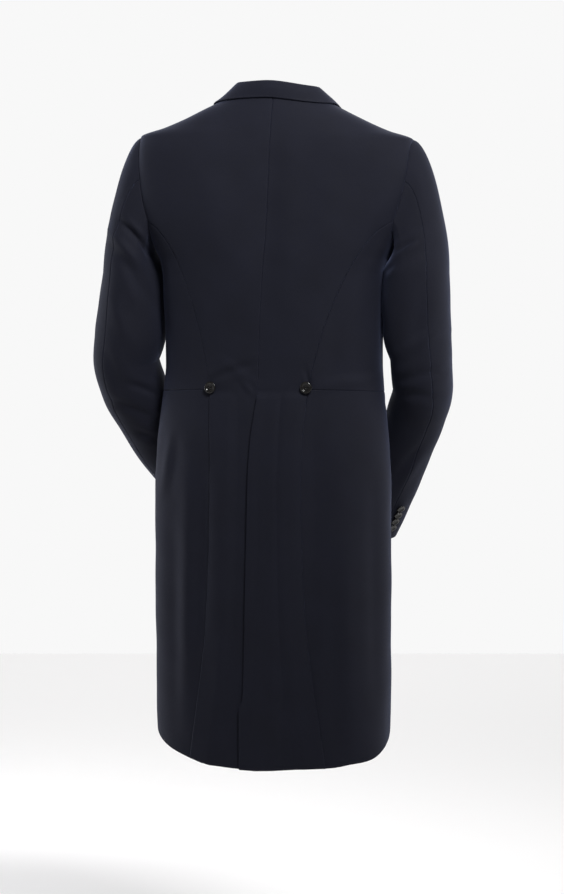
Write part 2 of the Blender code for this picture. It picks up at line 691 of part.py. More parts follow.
def add_button(name, point, normal, along, radius, thickness, steps, material, tilt=0.0):
    """Places a button on the cloth at a point, with its back facing the cloth."""
    obj = button_mesh(name, radius, thickness, steps, material)
    z_axis = Vector(normal).normalized()
    x_axis = Vector(along)
    x_axis = (x_axis - z_axis * x_axis.dot(z_axis)).normalized()
    y_axis = z_axis.cross(x_axis)
    frame = Matrix((x_axis, y_axis, z_axis)).transposed().to_4x4()
    frame.translation = Vector(point) * MM
    obj.matrix_world = frame @ Matrix.Rotation(np.radians(tilt), 4, "Y")
    return obj


def add_waist_buttons(material):
    """One at the top of each side pleat."""
    for side_name, side in SIDES.items():
        height = WAIST + 3
        place = float(angle_at(PLEAT_LINE[0][1] - 2, height))
        point, normal = on_form(place * side, height, BUTTON_REST + 1.3)
        name = "waist_button_" + side_name
        add_button(name, point, normal, (1, 0, 0), WAIST_BUTTON_RADIUS, 4.2, 20, material)


def add_front_button(material):
    """The one that closes the coat, on the left front where it lies over the right one."""
    point, normal = on_form(np.pi, FRONT_BUTTON_HEIGHT, LAP_LIFT + LAPEL_LIFT + BUTTON_REST)
    add_button("front_button", point, normal, (1, 0, 0), FRONT_BUTTON_RADIUS, 4.6, 20, material)


def add_cuff_buttons(side_name, sleeve, material):
    grid, square = sleeve
    line = grid[:, CUFF_BUTTON_COLUMN]
    normals = square[:, CUFF_BUTTON_COLUMN]
    length = np.concatenate([[0.0], np.cumsum(np.linalg.norm(np.diff(line, axis=0), axis=1))])
    for number in range(CUFF_BUTTON_COUNT):
        at = length[-1] - 24 - number * CUFF_BUTTON_STEP
        point = np.array([np.interp(at, length, line[:, axis]) for axis in range(3)])
        normal = unit(np.array([np.interp(at, length, normals[:, axis]) for axis in range(3)]))
        along = unit(line[-1] - line[-3])
        lift = BUTTON_REST + np.sin(np.radians(CUFF_BUTTON_TILT)) * CUFF_BUTTON_RADIUS * BUTTON_BACK
        name = f"cuff_button_{side_name}_{number + 1}"
        place = point + normal * lift
        add_button(name, place, normal, along, CUFF_BUTTON_RADIUS, 2.9, 16, material, CUFF_BUTTON_TILT)


def clear_scene():
    for obj in list(bpy.data.objects):
        bpy.data.objects.remove(obj)
    collection = bpy.data.collections.new("morning_coat")
    bpy.context.scene.collection.children.link(collection)


def main():
    clear_scene()
    cloth = make_material("black_worsted", (0.016, 0.016, 0.022), 0.85)
    horn = make_material("black_horn", (0.012, 0.011, 0.011), 0.25)
    lines = pattern_lines()
    for side_name, side in SIDES.items():
        add_back("back_" + side_name, side, lines, cloth)
        add_side_body("side_body_" + side_name, side, lines, cloth)
        add_front("front_" + side_name, side, lines, cloth)
        add_skirt("skirt_" + side_name, side, lines, cloth)
        add_lapel("lapel_" + side_name, side, cloth)
        sleeve = add_sleeve(side_name, lines, cloth)
        add_cuff_buttons(side_name, sleeve, horn)
    add_collar("collar", cloth)
    add_waist_buttons(horn)
    add_front_button(horn)


if __name__ == "__main__":
    main()
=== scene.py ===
"""A black morning coat in a worn pose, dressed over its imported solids.

Each cut piece is drawn again from the coat's own pattern at a fine pitch, with its folds, pressed
edges and stitches, and stands in for the solid of the same name. The coat faces -Y, its own left side
is +X and the origin is the nape. Lengths are in millimetres and angles in degrees unless a name says
otherwise; meshes are written in metres.
"""

import logging
from dataclasses import dataclass, field
from enum import Enum

import bpy
import numpy as np
from bpy.types import ID, Material, Node, NodeSocket, NodeTree, Object
from mathutils import Matrix, Vector


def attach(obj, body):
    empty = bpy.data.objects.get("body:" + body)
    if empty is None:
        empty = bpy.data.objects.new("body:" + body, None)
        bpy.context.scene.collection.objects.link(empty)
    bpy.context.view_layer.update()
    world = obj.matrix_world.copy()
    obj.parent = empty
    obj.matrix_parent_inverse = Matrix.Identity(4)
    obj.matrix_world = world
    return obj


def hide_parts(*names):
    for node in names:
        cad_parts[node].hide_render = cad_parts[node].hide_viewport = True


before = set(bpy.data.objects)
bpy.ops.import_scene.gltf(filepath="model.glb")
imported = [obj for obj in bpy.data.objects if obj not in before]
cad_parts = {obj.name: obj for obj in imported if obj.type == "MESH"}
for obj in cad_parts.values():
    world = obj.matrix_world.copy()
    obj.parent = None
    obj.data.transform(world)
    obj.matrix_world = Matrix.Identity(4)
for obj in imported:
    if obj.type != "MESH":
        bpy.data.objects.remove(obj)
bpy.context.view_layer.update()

LOG = logging.getLogger("morning_coat")

Pair = tuple[float, float]
Triple = tuple[float, float, float]

MM = 0.001
WALL = 1.8
LAP_LIFT = 3.0
LAPEL_LIFT = 2.9
WAIST = -485.0
HEM = -1114.0
# rows of a grid after which its columns are spread evenly
EVEN_ROWS = 8
# the low banks beside a fold: their depth as a share of its rise, and where they lie in widths
BANKS = ((0.32, 1.9), (0.22, -2.0))
# a fold's ends: how far they fade out in widths, their share of its rise, and how soon it is full
END_REACH, END_SHARE, END_SHAPE = 1.6, 0.35, 0.6
# a diagonal wave texture's scale, times the distance between its lines
WAVE_SCALE = 0.444


class Side(Enum):
    """The coat's own two sides; the value is the sign of X."""

    LEFT = 1
    RIGHT = -1

    @property
    def label(self) -> str:
        """The word that ends the names of this side's pieces."""
        return self.name.lower()


class Rim(Enum):
    """The four sides of a sheet's grid of points: its first and last row, its first and last column."""

    TOP = "top"
    NEAR = "near"
    FAR = "far"
    BOTTOM = "bottom"


class Edge(Enum):
    """How an edge of a cloth piece is finished: how far its outer and inner faces draw in there."""

    SEAM = ((-0.85, -0.30, 0.0), (0.0, 0.0, 0.0))
    TURNED = ((-0.62, -0.14, 0.0), (0.62, 0.14, 0.0))
    PRESSED = ((-1.15, -0.45, 0.0), (0.25, 0.08, 0.0))
    COVERED = ((0.0, 0.0, 0.0), (0.0, 0.0, 0.0))


# lapels and collar: turned all round, but for the column that is rolled or sewn on
FREE_EDGES = {**dict.fromkeys(Rim, Edge.TURNED), Rim.NEAR: Edge.COVERED}


def unit(vectors: np.ndarray) -> np.ndarray:
    """Vectors of length one in the same directions."""
    return vectors / np.linalg.norm(vectors, axis=-1, keepdims=True)


def fade(value: np.ndarray, start: float, end: float) -> np.ndarray:
    """0 at start and 1 at end, with soft ends."""
    share = np.clip((np.asarray(value, float) - start) / (end - start), 0, 1)
    return share * share * (3 - 2 * share)


def smooth(at: np.ndarray, knots: np.ndarray, values: np.ndarray) -> np.ndarray:
    """Reads a table with a monotone cubic, so nothing overshoots between two rows.

    Args:
        at: Where to read.
        knots: Rising positions of the table's rows.
        values: The table's values.

    Returns:
        The value at each position.
    """
    at = np.asarray(at, float)
    knots = np.asarray(knots, float)
    values = np.asarray(values, float)
    step = np.diff(knots)
    slope = np.diff(values) / step
    tangent = np.empty(len(knots))
    tangent[0] = slope[0]
    tangent[-1] = slope[-1]
    same_way = slope[:-1] * slope[1:] > 0
    total = np.where(same_way, slope[:-1] + slope[1:], 1.0)
    tangent[1:-1] = np.where(same_way, 2 * slope[:-1] * slope[1:] / total, 0.0)
    index = np.clip(np.searchsorted(knots, at, side="right") - 1, 0, len(knots) - 2)
    t = (at - knots[index]) / step[index]
    start = values[index] * (1 + 2 * t) * (1 - t) ** 2 + values[index + 1] * t**2 * (3 - 2 * t)
    bend = tangent[index] * t * (1 - t) ** 2 + tangent[index + 1] * t**2 * (t - 1)
    return start + bend * step[index]


def joined(*lines: np.ndarray) -> np.ndarray:
    """One line from several that follow on, without doubling the points where they meet."""
    return np.concatenate([lines[0]] + [line[1:] for line in lines[1:]])


def path_length(points: np.ndarray) -> np.ndarray:
    """Distance along a line of points, 0 at its first one."""
    steps = np.linalg.norm(np.diff(points, axis=0), axis=1)
    return np.concatenate([[0.0], np.cumsum(steps)])


@dataclass(frozen=True)
class WornForm:
    """The form that the body pieces lie on: sections by height, joined smoothly."""

    columns: tuple[str, ...] = (
        "height", "half_width", "back", "front", "back_power", "front_power", "shift", "turn",
    )
    rows: tuple[tuple[float, ...], ...] = (
        (20.0, 43.0, 48.0, 38.0, 2.2, 2.2, -9.0, -3.5),
        (5.0, 75.0, 54.0, 46.0, 2.2, 2.2, -9.0, -3.5),
        (-10.0, 101.0, 58.0, 52.0, 2.2, 2.2, -8.5, -3.5),
        (-30.0, 142.0, 63.5, 60.0, 2.3, 2.2, -7.5, -3.5),
        (-50.0, 187.0, 68.0, 67.0, 2.5, 2.3, -6.5, -3.5),
        (-66.0, 227.0, 71.0, 74.0, 2.9, 2.5, -6.0, -3.5),
        (-90.0, 229.0, 74.5, 84.0, 3.5, 2.7, -5.0, -3.5),
        (-120.0, 230.0, 77.0, 96.0, 3.8, 2.8, -4.5, -3.4),
        (-160.0, 227.0, 80.0, 111.0, 3.8, 2.8, -3.5, -3.2),
        (-205.0, 217.0, 82.0, 124.0, 3.5, 2.7, -2.5, -2.5),
        (-250.0, 200.0, 83.5, 132.0, 3.1, 2.6, -2.0, -1.0),
        (-275.0, 190.0, 84.0, 133.0, 2.9, 2.5, -1.5, 0.2),
        (-300.0, 187.0, 84.0, 133.0, 2.7, 2.4, -1.0, 1.0),
        (-350.0, 185.5, 84.0, 127.0, 2.5, 2.4, -0.5, 2.5),
        (-400.0, 184.5, 83.0, 117.0, 2.4, 2.3, 0.0, 3.8),
        (-444.0, 184.5, 82.5, 109.0, 2.4, 2.3, 0.0, 4.6),
        (-485.0, 188.0, 84.0, 103.0, 2.4, 2.2, 0.0, 5.0),
        (-530.0, 194.0, 91.0, 98.0, 2.4, 2.1, 0.0, 5.0),
        (-580.0, 199.0, 97.0, 95.0, 2.5, 2.0, 0.0, 5.0),
        (-640.0, 201.5, 100.0, 94.0, 2.5, 2.0, 0.0, 5.0),
        (-767.0, 202.0, 101.0, 96.0, 2.5, 2.0, 0.0, 5.0),
        (-900.0, 201.0, 100.0, 100.0, 2.5, 2.1, 0.0, 5.0),
        (-1000.0, 200.0, 98.0, 102.0, 2.5, 2.2, 0.0, 5.0),
        (-1114.0, 198.0, 96.0, 102.0, 2.5, 2.2, 0.0, 5.0),
    )
    # the right shoulder hangs lower, eased in across the back and up to the shoulder
    right_drop: float = 9.0
    drop_across: Pair = (-20, 80)
    drop_heights: Pair = (-330, -100)
    grain_rows: int = 117
    grain_columns: int = 160
    grain_heights: Pair = (30, -1130)
    grain_reach: float = 1.1

    def value(self, name: str, height: np.ndarray) -> np.ndarray:
        """One column of the table at some heights."""
        table = np.array(self.rows)[::-1]
        return smooth(height, table[:, 0], table[:, self.columns.index(name)])

    def body(self, angle: np.ndarray, height: np.ndarray) -> np.ndarray:
        """Points of the form about its own axis.

        Args:
            angle: Radians from the centre back, rising to the coat's left.
            height: Height above the nape.

        Returns:
            One point for each pair, in millimetres.
        """
        sine = np.sin(angle)
        cosine = np.cos(angle)
        behind = cosine >= 0
        depth = np.where(behind, self.value("back", height), self.value("front", height))
        power = 2 / np.where(
            behind, self.value("back_power", height), self.value("front_power", height)
        )
        x = self.value("half_width", height) * np.sign(sine) * np.abs(sine) ** power
        y = depth * np.sign(cosine) * np.abs(cosine) ** power
        turn = np.radians(self.value("turn", height))
        turned_x = x * np.cos(turn) + y * np.sin(turn) + self.value("shift", height)
        turned_y = y * np.cos(turn) - x * np.sin(turn)
        drop = self.right_drop * fade(-x, *self.drop_across) * fade(height, *self.drop_heights)
        return np.stack([turned_x, turned_y, height - drop], axis=-1)

    def nape(self) -> np.ndarray:
        """The nape about the form's axis."""
        return self.body(np.array(0.0), np.array(0.0))

    def on_form(
        self, angle: np.ndarray, height: np.ndarray, lift: float | np.ndarray = 0.0
    ) -> tuple[np.ndarray, np.ndarray]:
        """Points on the form from the nape, and the outward directions there.

        Args:
            angle: Radians from the centre back.
            height: Height above the nape.
            lift: How far the points stand off the form.

        Returns:
            The points and their outward directions.
        """
        angle = np.asarray(angle, float)
        height = np.asarray(height, float)
        turn, rise = 0.004, 0.5
        along = self.body(angle + turn, height) - self.body(angle - turn, height)
        up = self.body(angle, height + rise) - self.body(angle, height - rise)
        normal = unit(np.cross(up, along))
        points = self.body(angle, height) - self.nape()
        return points + normal * np.asarray(lift, float)[..., None], normal

    def angle_at(self, x: np.ndarray, height: np.ndarray, front: bool = False) -> np.ndarray:
        """Angle of the pattern point at a distance from the centre line.

        Args:
            x: Distance from the centre line.
            height: Height above the nape.
            front: Whether the point lies ahead of the shoulders.

        Returns:
            Radians from the centre back.
        """
        power = self.value("front_power" if front else "back_power", height)
        share = np.clip(np.abs(x) / self.value("half_width", height), 0, 1)
        angle = np.arcsin(share ** (power / 2)) * np.where(np.asarray(x) < 0, -1.0, 1.0)
        return np.pi - angle if front else angle

    def distance_of(
        self, angle: np.ndarray, height: np.ndarray, front: bool = False
    ) -> np.ndarray:
        """Distance of a pattern point from the centre line.

        Args:
            angle: Radians from the centre back.
            height: Height above the nape.
            front: Whether the point lies ahead of the shoulders.

        Returns:
            The distance, with the sign of the side.
        """
        power = self.value("front_power" if front else "back_power", height)
        sine = np.sin(angle)
        return self.value("half_width", height) * np.sign(sine) * np.abs(sine) ** (2 / power)

    def grain(self, angle: np.ndarray, height: np.ndarray) -> np.ndarray:
        """Where the cloth of a pattern point lies on the flat: girth from the centre back, and height.

        Args:
            angle: Radians from the centre back.
            height: Height above the nape.

        Returns:
            Metres across the grain and along it.
        """
        rows, columns = self.grain_rows, self.grain_columns
        angles = np.linspace(0, np.pi * self.grain_reach, columns)
        heights = np.linspace(*self.grain_heights, rows)
        ring = self.body(angles[None], np.broadcast_to(heights[:, None], (rows, columns)))
        steps = np.linalg.norm(np.diff(ring, axis=1), axis=2)
        girth = np.concatenate([np.zeros((rows, 1)), steps.cumsum(axis=1)], axis=1)
        share = (heights[0] - height) / (heights[0] - heights[-1])
        row = np.clip(share * (rows - 1), 0, rows - 1.001)
        column = np.clip(np.abs(angle) / angles[-1] * (columns - 1), 0, columns - 1.001)
        low_row, low_column = row.astype(int), column.astype(int)
        part_row, part_column = row - low_row, column - low_column
        across = (
            girth[low_row, low_column] * (1 - part_row) * (1 - part_column)
            + girth[low_row + 1, low_column] * part_row * (1 - part_column)
            + girth[low_row, low_column + 1] * (1 - part_row) * part_column
            + girth[low_row + 1, low_column + 1] * part_row * part_column
        )
        return np.stack([across * np.where(angle < 0, -1.0, 1.0), height], axis=-1) * MM


FORM = WornForm()


@dataclass(frozen=True)
class Pattern:
    """The seam lines and edges of the coat, each spread evenly over a number of fine cells."""

    neckline: tuple = ((0, 0), (30, 0.3), (60, 1.6), (90, 4.0))
    shoulder: tuple = ((90, 4.0), (90, -66.0))
    armhole_back: tuple = (
        (-66, 0), (-70, 12), (-79, 24), (-95, 34), (-120, 42), (-150, 47), (-180, 50), (-205, 50),
    )
    armhole_side: tuple = (
        (-205, 50), (-224, 43), (-239, 25), (-246, 0), (-245, -18), (-238, -38), (-224, -54),
    )
    armhole_front: tuple = (
        (-224, -54), (-200, -62), (-170, -63), (-140, -58), (-115, -49), (-93, -36), (-77, -20),
        (-69, -8), (-66, 0),
    )
    side_front: tuple = ((113, -290), (111, -360), (110, -430), (112, -489))
    side_back: tuple = (
        (-205, None), (-222, 184), (-245, 166), (-275, 149), (-310, 133), (-350, 118),
        (-395, 104), (-440, 93), (-485, 84),
    )
    waist_side_middle: tuple = (60, -487)
    waist_front: tuple = ((112, -489), (140, -491), (165, -493), (183.4, -495))
    tail_heights: tuple = (
        -485, -500, -518, -545, -580, -625, -680, -740, -805, -870, -935, -1000, -1045, -1085, -1114,
    )
    pleat: tuple = (
        (-485, 84), (-560, 80), (-626, 78), (-771, 81), (-867, 86), (-970, 98), (-1060, 110),
        (-1114, 117),
    )
    pleat_tuck: tuple = ((-485, 0), (-505, 0), (-565, 22), (-1114, 22))
    vent_over: tuple = (
        (-485, 0), (-496, 0), (-525, 3), (-570, 8), (-640, 11), (-767, 14), (-900, 17), (-992, 20),
        (-1013, 27), (-1045, 27), (-1114, 27),
    )
    # how much higher the hem runs than its plain line, by distance from the centre back
    hem_rise_left: tuple = ((0, 5), (40, 8), (90, 12), (120, 14), (160, 16), (230, 22))
    hem_rise_right: tuple = ((0, 5), (40, 7), (89, 10), (150, 9), (185, 4), (230, 0))
    vent_under: tuple = ((-485, 0), (-505, 0), (-560, 24), (-1114, 26))
    roll: tuple = (
        (4, 75), (-14, 74), (-45, 71), (-90, 66), (-150, 58), (-215, 48), (-280, 36), (-345, 20),
        (-395, 2), (-422, -13),
    )
    front_edge: tuple = ((-422, -13), (-445, -15), (-470, -14), (-495, None))
    lapel_top: tuple = ((-78, 67), (-88, 103), (-70, 141))
    lapel_edge: tuple = (
        (-70, 141), (-92, 144), (-125, 139), (-172, 128), (-225, 111), (-285, 88), (-345, 60),
        (-395, 28), (-421, 2),
    )
    skirt_edge: tuple = (
        (183.4, -495, -495), (176, -535, -535), (167, -600, -600), (156, -700, -700),
        (144, -800, -800), (130, -900, -905), (115, -980, -988), (100, -1027, -1045),
        (86, -1051, -1073),
    )
    skirt_hem: tuple = ((86, -1051, -1073), (70, -1071, -1090), (52, -1090, -1102), (34, -1105, -1111))
    hem_rise_from: float = -940.0
    tail_corner_left: float = 7.0
    tail_corner_right: float = 2.0
    tail_corner_from: float = -1040.0
    tail_corner_width: float = 40.0
    neck_cells: int = 20
    shoulder_cells: int = 44
    armhole_back_cells: int = 42
    armhole_side_cells: int = 42
    armhole_front_cells: int = 60
    body_cells: int = 84
    lapel_cells: int = 116
    tail_split: int = 9

    def resample(self, line: list, cells: int) -> np.ndarray:
        """Points evenly spread along a pattern line.

        Args:
            line: Rows of an angle in radians and a height.
            cells: Number of cells between the points.

        Returns:
            Angles and heights, one row more than there are cells.
        """
        line = np.asarray(line, float)
        length = path_length(FORM.body(line[:, 0], line[:, 1]))
        at = np.linspace(0, length[-1], cells + 1)
        return np.stack([smooth(at, length, line[:, 0]), smooth(at, length, line[:, 1])], axis=-1)

    def by_angle(self, line: tuple, cells: int) -> np.ndarray:
        """A line of (angle, height) rows."""
        return self.resample([(np.radians(angle), height) for angle, height in line], cells)

    def by_depth(self, line: tuple, cells: int) -> np.ndarray:
        """Points of a line that is given by its depth, as the armhole is.

        Args:
            line: Rows of a height and a distance behind the shoulder line.
            cells: Number of cells between the points.

        Returns:
            Angles and heights.
        """
        rows = []
        for height, depth in line:
            face = "back" if depth >= 0 else "front"
            share = min(abs(depth) / float(FORM.value(face, height)), 1.0)
            angle = np.arccos(share ** (float(FORM.value(face + "_power", height)) / 2))
            rows.append((angle if depth >= 0 else np.pi - angle, height))
        return self.resample(rows, cells)

    def by_distance(
        self, line: tuple, cells: int, front: bool = False, start: tuple = (), end: tuple = ()
    ) -> np.ndarray:
        """Points of a line that is given by its distance from the centre line.

        Args:
            line: Rows of a height and a distance; None takes the point of a line that it meets.
            cells: Number of cells between the points.
            front: Whether the line lies ahead of the shoulders.
            start: The point that a first None stands for.
            end: The point that a last None stands for.

        Returns:
            Angles and heights.
        """
        rows = []
        for height, distance in line:
            if distance is None:
                rows.append(tuple(end if rows else start))
            else:
                rows.append((float(FORM.angle_at(distance, height, front)), height))
        return self.resample(rows, cells)

    def table_at(self, table: tuple, heights: np.ndarray) -> np.ndarray:
        """Second column of a table of falling heights, read at some heights."""
        rows = np.array(table, float)[::-1]
        return smooth(heights, rows[:, 0], rows[:, 1])

    def raised(self, grid: np.ndarray, side: Side, tail: bool = False) -> np.ndarray:
        """The grid of a back or a skirt with its hem swung up towards the side.

        Args:
            grid: Angles and heights.
            side: The side that the piece is on.
            tail: Whether the piece is a back, whose outer corner is rounded up further.

        Returns:
            The same grid with other heights near the hem.
        """
        table = np.array(self.hem_rise_left if side is Side.LEFT else self.hem_rise_right, float)
        distance = np.abs(FORM.distance_of(grid[..., 0], grid[..., 1]))
        rise = smooth(distance, table[:, 0], table[:, 1]) * fade(grid[..., 1], self.hem_rise_from, HEM)
        if tail:
            edge = self.table_at(self.pleat, np.clip(grid[..., 1], HEM, WAIST))
            corner = self.tail_corner_left if side is Side.LEFT else self.tail_corner_right
            near = fade(distance - edge, -self.tail_corner_width, 0)
            rise += corner * near * fade(grid[..., 1], self.tail_corner_from, HEM)
        return np.stack([grid[..., 0], grid[..., 1] + rise], axis=-1)

    def tail_rows(self) -> np.ndarray:
        """Heights of the rows of cells below the waist.

        Returns:
            Falling heights, finer where the table of the tails is.
        """
        knots = np.array(self.tail_heights, float)
        at = np.linspace(0, len(knots) - 1, (len(knots) - 1) * self.tail_split + 1)
        return smooth(at, np.arange(len(knots)), knots)

    def lines(self) -> dict[str, np.ndarray]:
        """Every seam line once, so that the pieces on both sides of it share its points.

        Returns:
            Angles and heights of each line by its name.
        """
        lines = {
            "neckline": self.by_angle(self.neckline, self.neck_cells),
            "shoulder": self.by_angle(self.shoulder, self.shoulder_cells),
            "armhole_back": self.by_depth(self.armhole_back, self.armhole_back_cells),
            "armhole_side": self.by_depth(self.armhole_side, self.armhole_side_cells),
            "armhole_front": self.by_depth(self.armhole_front, self.armhole_front_cells),
            "waist_front": self.by_angle(self.waist_front, self.shoulder_cells),
        }
        side_front = [tuple(lines["armhole_front"][0])]
        side_front += [(np.radians(angle), height) for angle, height in self.side_front]
        lines["side_front"] = self.resample(side_front, self.body_cells)
        lines["side_back"] = self.by_distance(
            self.side_back, self.body_cells, start=lines["armhole_back"][-1]
        )
        angle, height = self.waist_side_middle
        middle = (np.radians(angle), height)
        waist_side = ((lines["side_back"][-1][0], WAIST), middle, lines["side_front"][-1])
        lines["waist_side"] = self.resample(waist_side, self.armhole_side_cells)
        lines["roll"] = self.by_distance(self.roll, self.lapel_cells, front=True)
        lines["roll"][0] = lines["shoulder"][0]
        edge_cells = self.armhole_front_cells + self.body_cells - self.lapel_cells
        lines["front_edge"] = self.by_distance(
            self.front_edge, edge_cells, front=True, end=lines["waist_front"][-1]
        )
        return lines


PATTERN = Pattern()
LINES = PATTERN.lines()


def fill(top: np.ndarray, bottom: np.ndarray, near: np.ndarray, far: np.ndarray) -> np.ndarray:
    """Grid of rows between four edges that share their corners.

    Args:
        top: First row.
        bottom: Last row.
        near: First column.
        far: Last column.

    Returns:
        The grid, as many rows as near has points and as many columns as top has.
    """
    u = np.linspace(0, 1, len(top))[None, :, None]
    v = np.linspace(0, 1, len(near))[:, None, None]
    across = (1 - u) * near[:, None] + u * far[:, None]
    down = (1 - v) * top[None] + v * bottom[None]
    corners = (1 - u) * ((1 - v) * top[0] + v * bottom[0]) + u * ((1 - v) * top[-1] + v * bottom[-1])
    return across + down - corners


def fill_flat(
    top: np.ndarray, bottom: np.ndarray, near: np.ndarray, far: np.ndarray, front: bool = False
) -> np.ndarray:
    """The same grid, spread evenly as it is seen from the back or the front.

    Args:
        top: Line of angles and heights that the first row follows.
        bottom: Line of the last row.
        near: Line of the first column.
        far: Line of the last column.
        front: Whether the piece lies ahead of the shoulders.

    Returns:
        A grid of angles and heights; its columns are even after the first rows.
    """
    edges = []
    for line in (top, bottom, near, far):
        edges.append(np.stack([FORM.distance_of(line[:, 0], line[:, 1], front), line[:, 1]], axis=-1))
    grid = fill(*edges)
    even = np.linspace(grid[:, 0, 0], grid[:, -1, 0], grid.shape[1], axis=-1)
    settled = fade(np.arange(len(grid)), 0, EVEN_ROWS)[:, None]
    grid[..., 0] += (even - grid[..., 0]) * settled
    angle = FORM.angle_at(grid[..., 0], grid[..., 1], front)
    result = np.stack([angle, grid[..., 1]], axis=-1)
    result[0] = top
    result[-1] = bottom
    result[:, 0] = near
    result[:, -1] = far
    return result


@dataclass(frozen=True)
class Fold:
    """One crease or soft roll of the cloth, as it lies in the view that its field is drawn in."""

    start: Pair
    end: Pair
    rise: float
    width: float
    bow: float = 0.0

    def height(self, across: np.ndarray, up: np.ndarray) -> np.ndarray:
        """How far the fold lifts the cloth; a trough has a negative rise and low banks beside it.

        Args:
            across: Distance to the right in the field's view.
            up: Height above the nape.

        Returns:
            The lift in millimetres.
        """
        ax, az = self.start
        bx, bz = self.end
        length = np.hypot(bx - ax, bz - az)
        ex, ez = (bx - ax) / length, (bz - az) / length
        along = (across - ax) * ex + (up - az) * ez
        t = np.clip(along / length, 0, 1)
        beside = (across - ax) * -ez + (up - az) * ex - self.bow * 4 * t * (1 - t)
        beyond = np.maximum(np.maximum(-along, along - length), 0) / (END_REACH * self.width)
        full = np.sin(np.pi * np.clip(t, 0.02, 0.98)) ** END_SHAPE
        ends = np.exp(-(beyond**2)) * (END_SHARE + (1 - END_SHARE) * full)
        share = beside / self.width
        cross = np.exp(-(share**2))
        for depth, place in BANKS:
            cross = cross - depth * np.exp(-((share - place) ** 2))
        return self.rise * cross * ends


@dataclass(frozen=True)
class FoldField:
    """Folds drawn in one straight view of the coat."""

    right: Triple
    facing: Triple
    folds: tuple[Fold, ...]
    axis: Triple = (12.3, -53.7, 0.0)
    strength: float = 2.1

    def height(self, points: np.ndarray, normals: np.ndarray) -> np.ndarray:
        """Lift of every point of the cloth that faces this view.

        Args:
            points: Points from the nape, in millimetres.
            normals: Outward directions there.

        Returns:
            The lift in millimetres, 0 where the cloth faces away.
        """
        across = (points - np.array(self.axis)) @ np.array(self.right)
        up = points[..., 2]
        total = np.zeros(points.shape[:-1])
        for fold in self.folds:
            total += fold.height(across, up)
        return total * self.strength * fade(normals @ np.array(self.facing), 0.0, 0.35)


# each fold's start and end in its view (to the right and up), its rise, its width and its bow
FOLDS_BEHIND = (
    (-253, -206, -207, -256, -2.6, 5, 2), (-271, -220, -225, -273, 2.4, 9, 0),
    (-245, -273, -207, -336, -1.4, 9, 0), (-268, -336, -235, -411, 1.2, 12, 0),
    (-281, -419, -255, -489, -1.3, 10, 0), (-242, -475, -192, -495, -1.5, 6, 2),
    (-268, -505, -205, -532, -1.3, 7, 2), (-232, -555, -198, -568, -1.2, 6, 0),
    (232, -240, 204, -256, -1.6, 4.5, -1), (256, -223, 210, -263, 1.6, 9, 0),
    (197, -279, 183, -293, -1.0, 5, 0), (243, -319, 230, -419, -1.2, 12, 0),
    (273, -386, 210, -422, 1.2, 9, 0), (276, -455, 207, -469, -1.5, 7, -2),
    (270, -498, 213, -489, -1.1, 7, 0), (253, -568, 213, -618, -1.2, 8, 0),
    (243, -593, 210, -651, 1.0, 8, 0), (176, -214, 150, -276, -1.5, 13, 4),
    (170, -283, 157, -386, -1.4, 14, 0), (-205, -261, -185, -366, -1.8, 14, -3),
    (-99, -467, -32, -442, -1.1, 6, 2), (-79, -439, -29, -475, 0.8, 7, 0),
    (54, -455, 59, -479, -1.1, 3.5, 0), (90, -475, 173, -467, 0.9, 8, 0),
    (-139, -336, -122, -455, -1.0, 16, 3), (110, -336, 97, -455, -1.0, 16, -3),
    (-109, -137, -79, -273, 1.4, 32, 0), (97, -140, 77, -273, 1.4, 32, 0),
    (-2, -70, -12, -336, -1.3, 20, 0), (-51, -469, -36, -489, 0.8, 5, 0),
    (-170, -565, -182, -651, 1.3, 7, 0), (-142, -585, -149, -1000, 1.2, 14, 4),
    (-117, -631, -125, -900, -1.6, 12, 2), (-82, -568, -85, -1000, 0.9, 14, 0),
    (-168, -701, -162, -1033, -1.0, 12, 2), (64, -535, 54, -1050, -2.0, 20, 4),
    (4, -618, -9, -1066, 1.0, 22, 0), (119, -618, 130, -1033, 1.6, 20, -4),
    (164, -635, 170, -983, -1.2, 12, 0), (94, -767, 100, -1066, -0.8, 12, 0),
)
FOLDS_AHEAD = (
    (-20, -432, -92, -392, -1.5, 8, 5), (14, -430, 96, -384, -1.6, 8, -6),
    (-24, -456, -100, -470, -1.0, 7, -3), (20, -458, 104, -478, -1.1, 8, 4),
    (196, -250, 150, -330, -1.8, 12, 6), (-176, -262, -132, -340, -1.7, 12, -6),
    (206, -150, 190, -226, 1.6, 9, 4), (-186, -160, -172, -236, 1.5, 9, -4),
    (228, -474, 294, -452, -2.6, 6, 4), (226, -498, 292, -486, -2.2, 6, 3),
    (232, -446, 286, -418, -1.9, 6, 4), (216, -520, 276, -516, -1.5, 7, 2),
    (-266, -470, -200, -478, -2.4, 6, 4), (-270, -448, -206, -438, -1.9, 6, 3),
    (-262, -496, -196, -506, -2.0, 6, 3), (120, -560, 150, -900, 1.8, 22, 8),
    (-110, -560, -138, -920, 1.7, 22, -8), (168, -600, 176, -960, -1.6, 16, 5),
    (-150, -640, -158, -980, -1.5, 16, -5),
)


def read_folds(rows: tuple) -> tuple[Fold, ...]:
    """The folds of a table."""
    return tuple(Fold((ax, az), (bx, bz), *shape) for ax, az, bx, bz, *shape in rows)


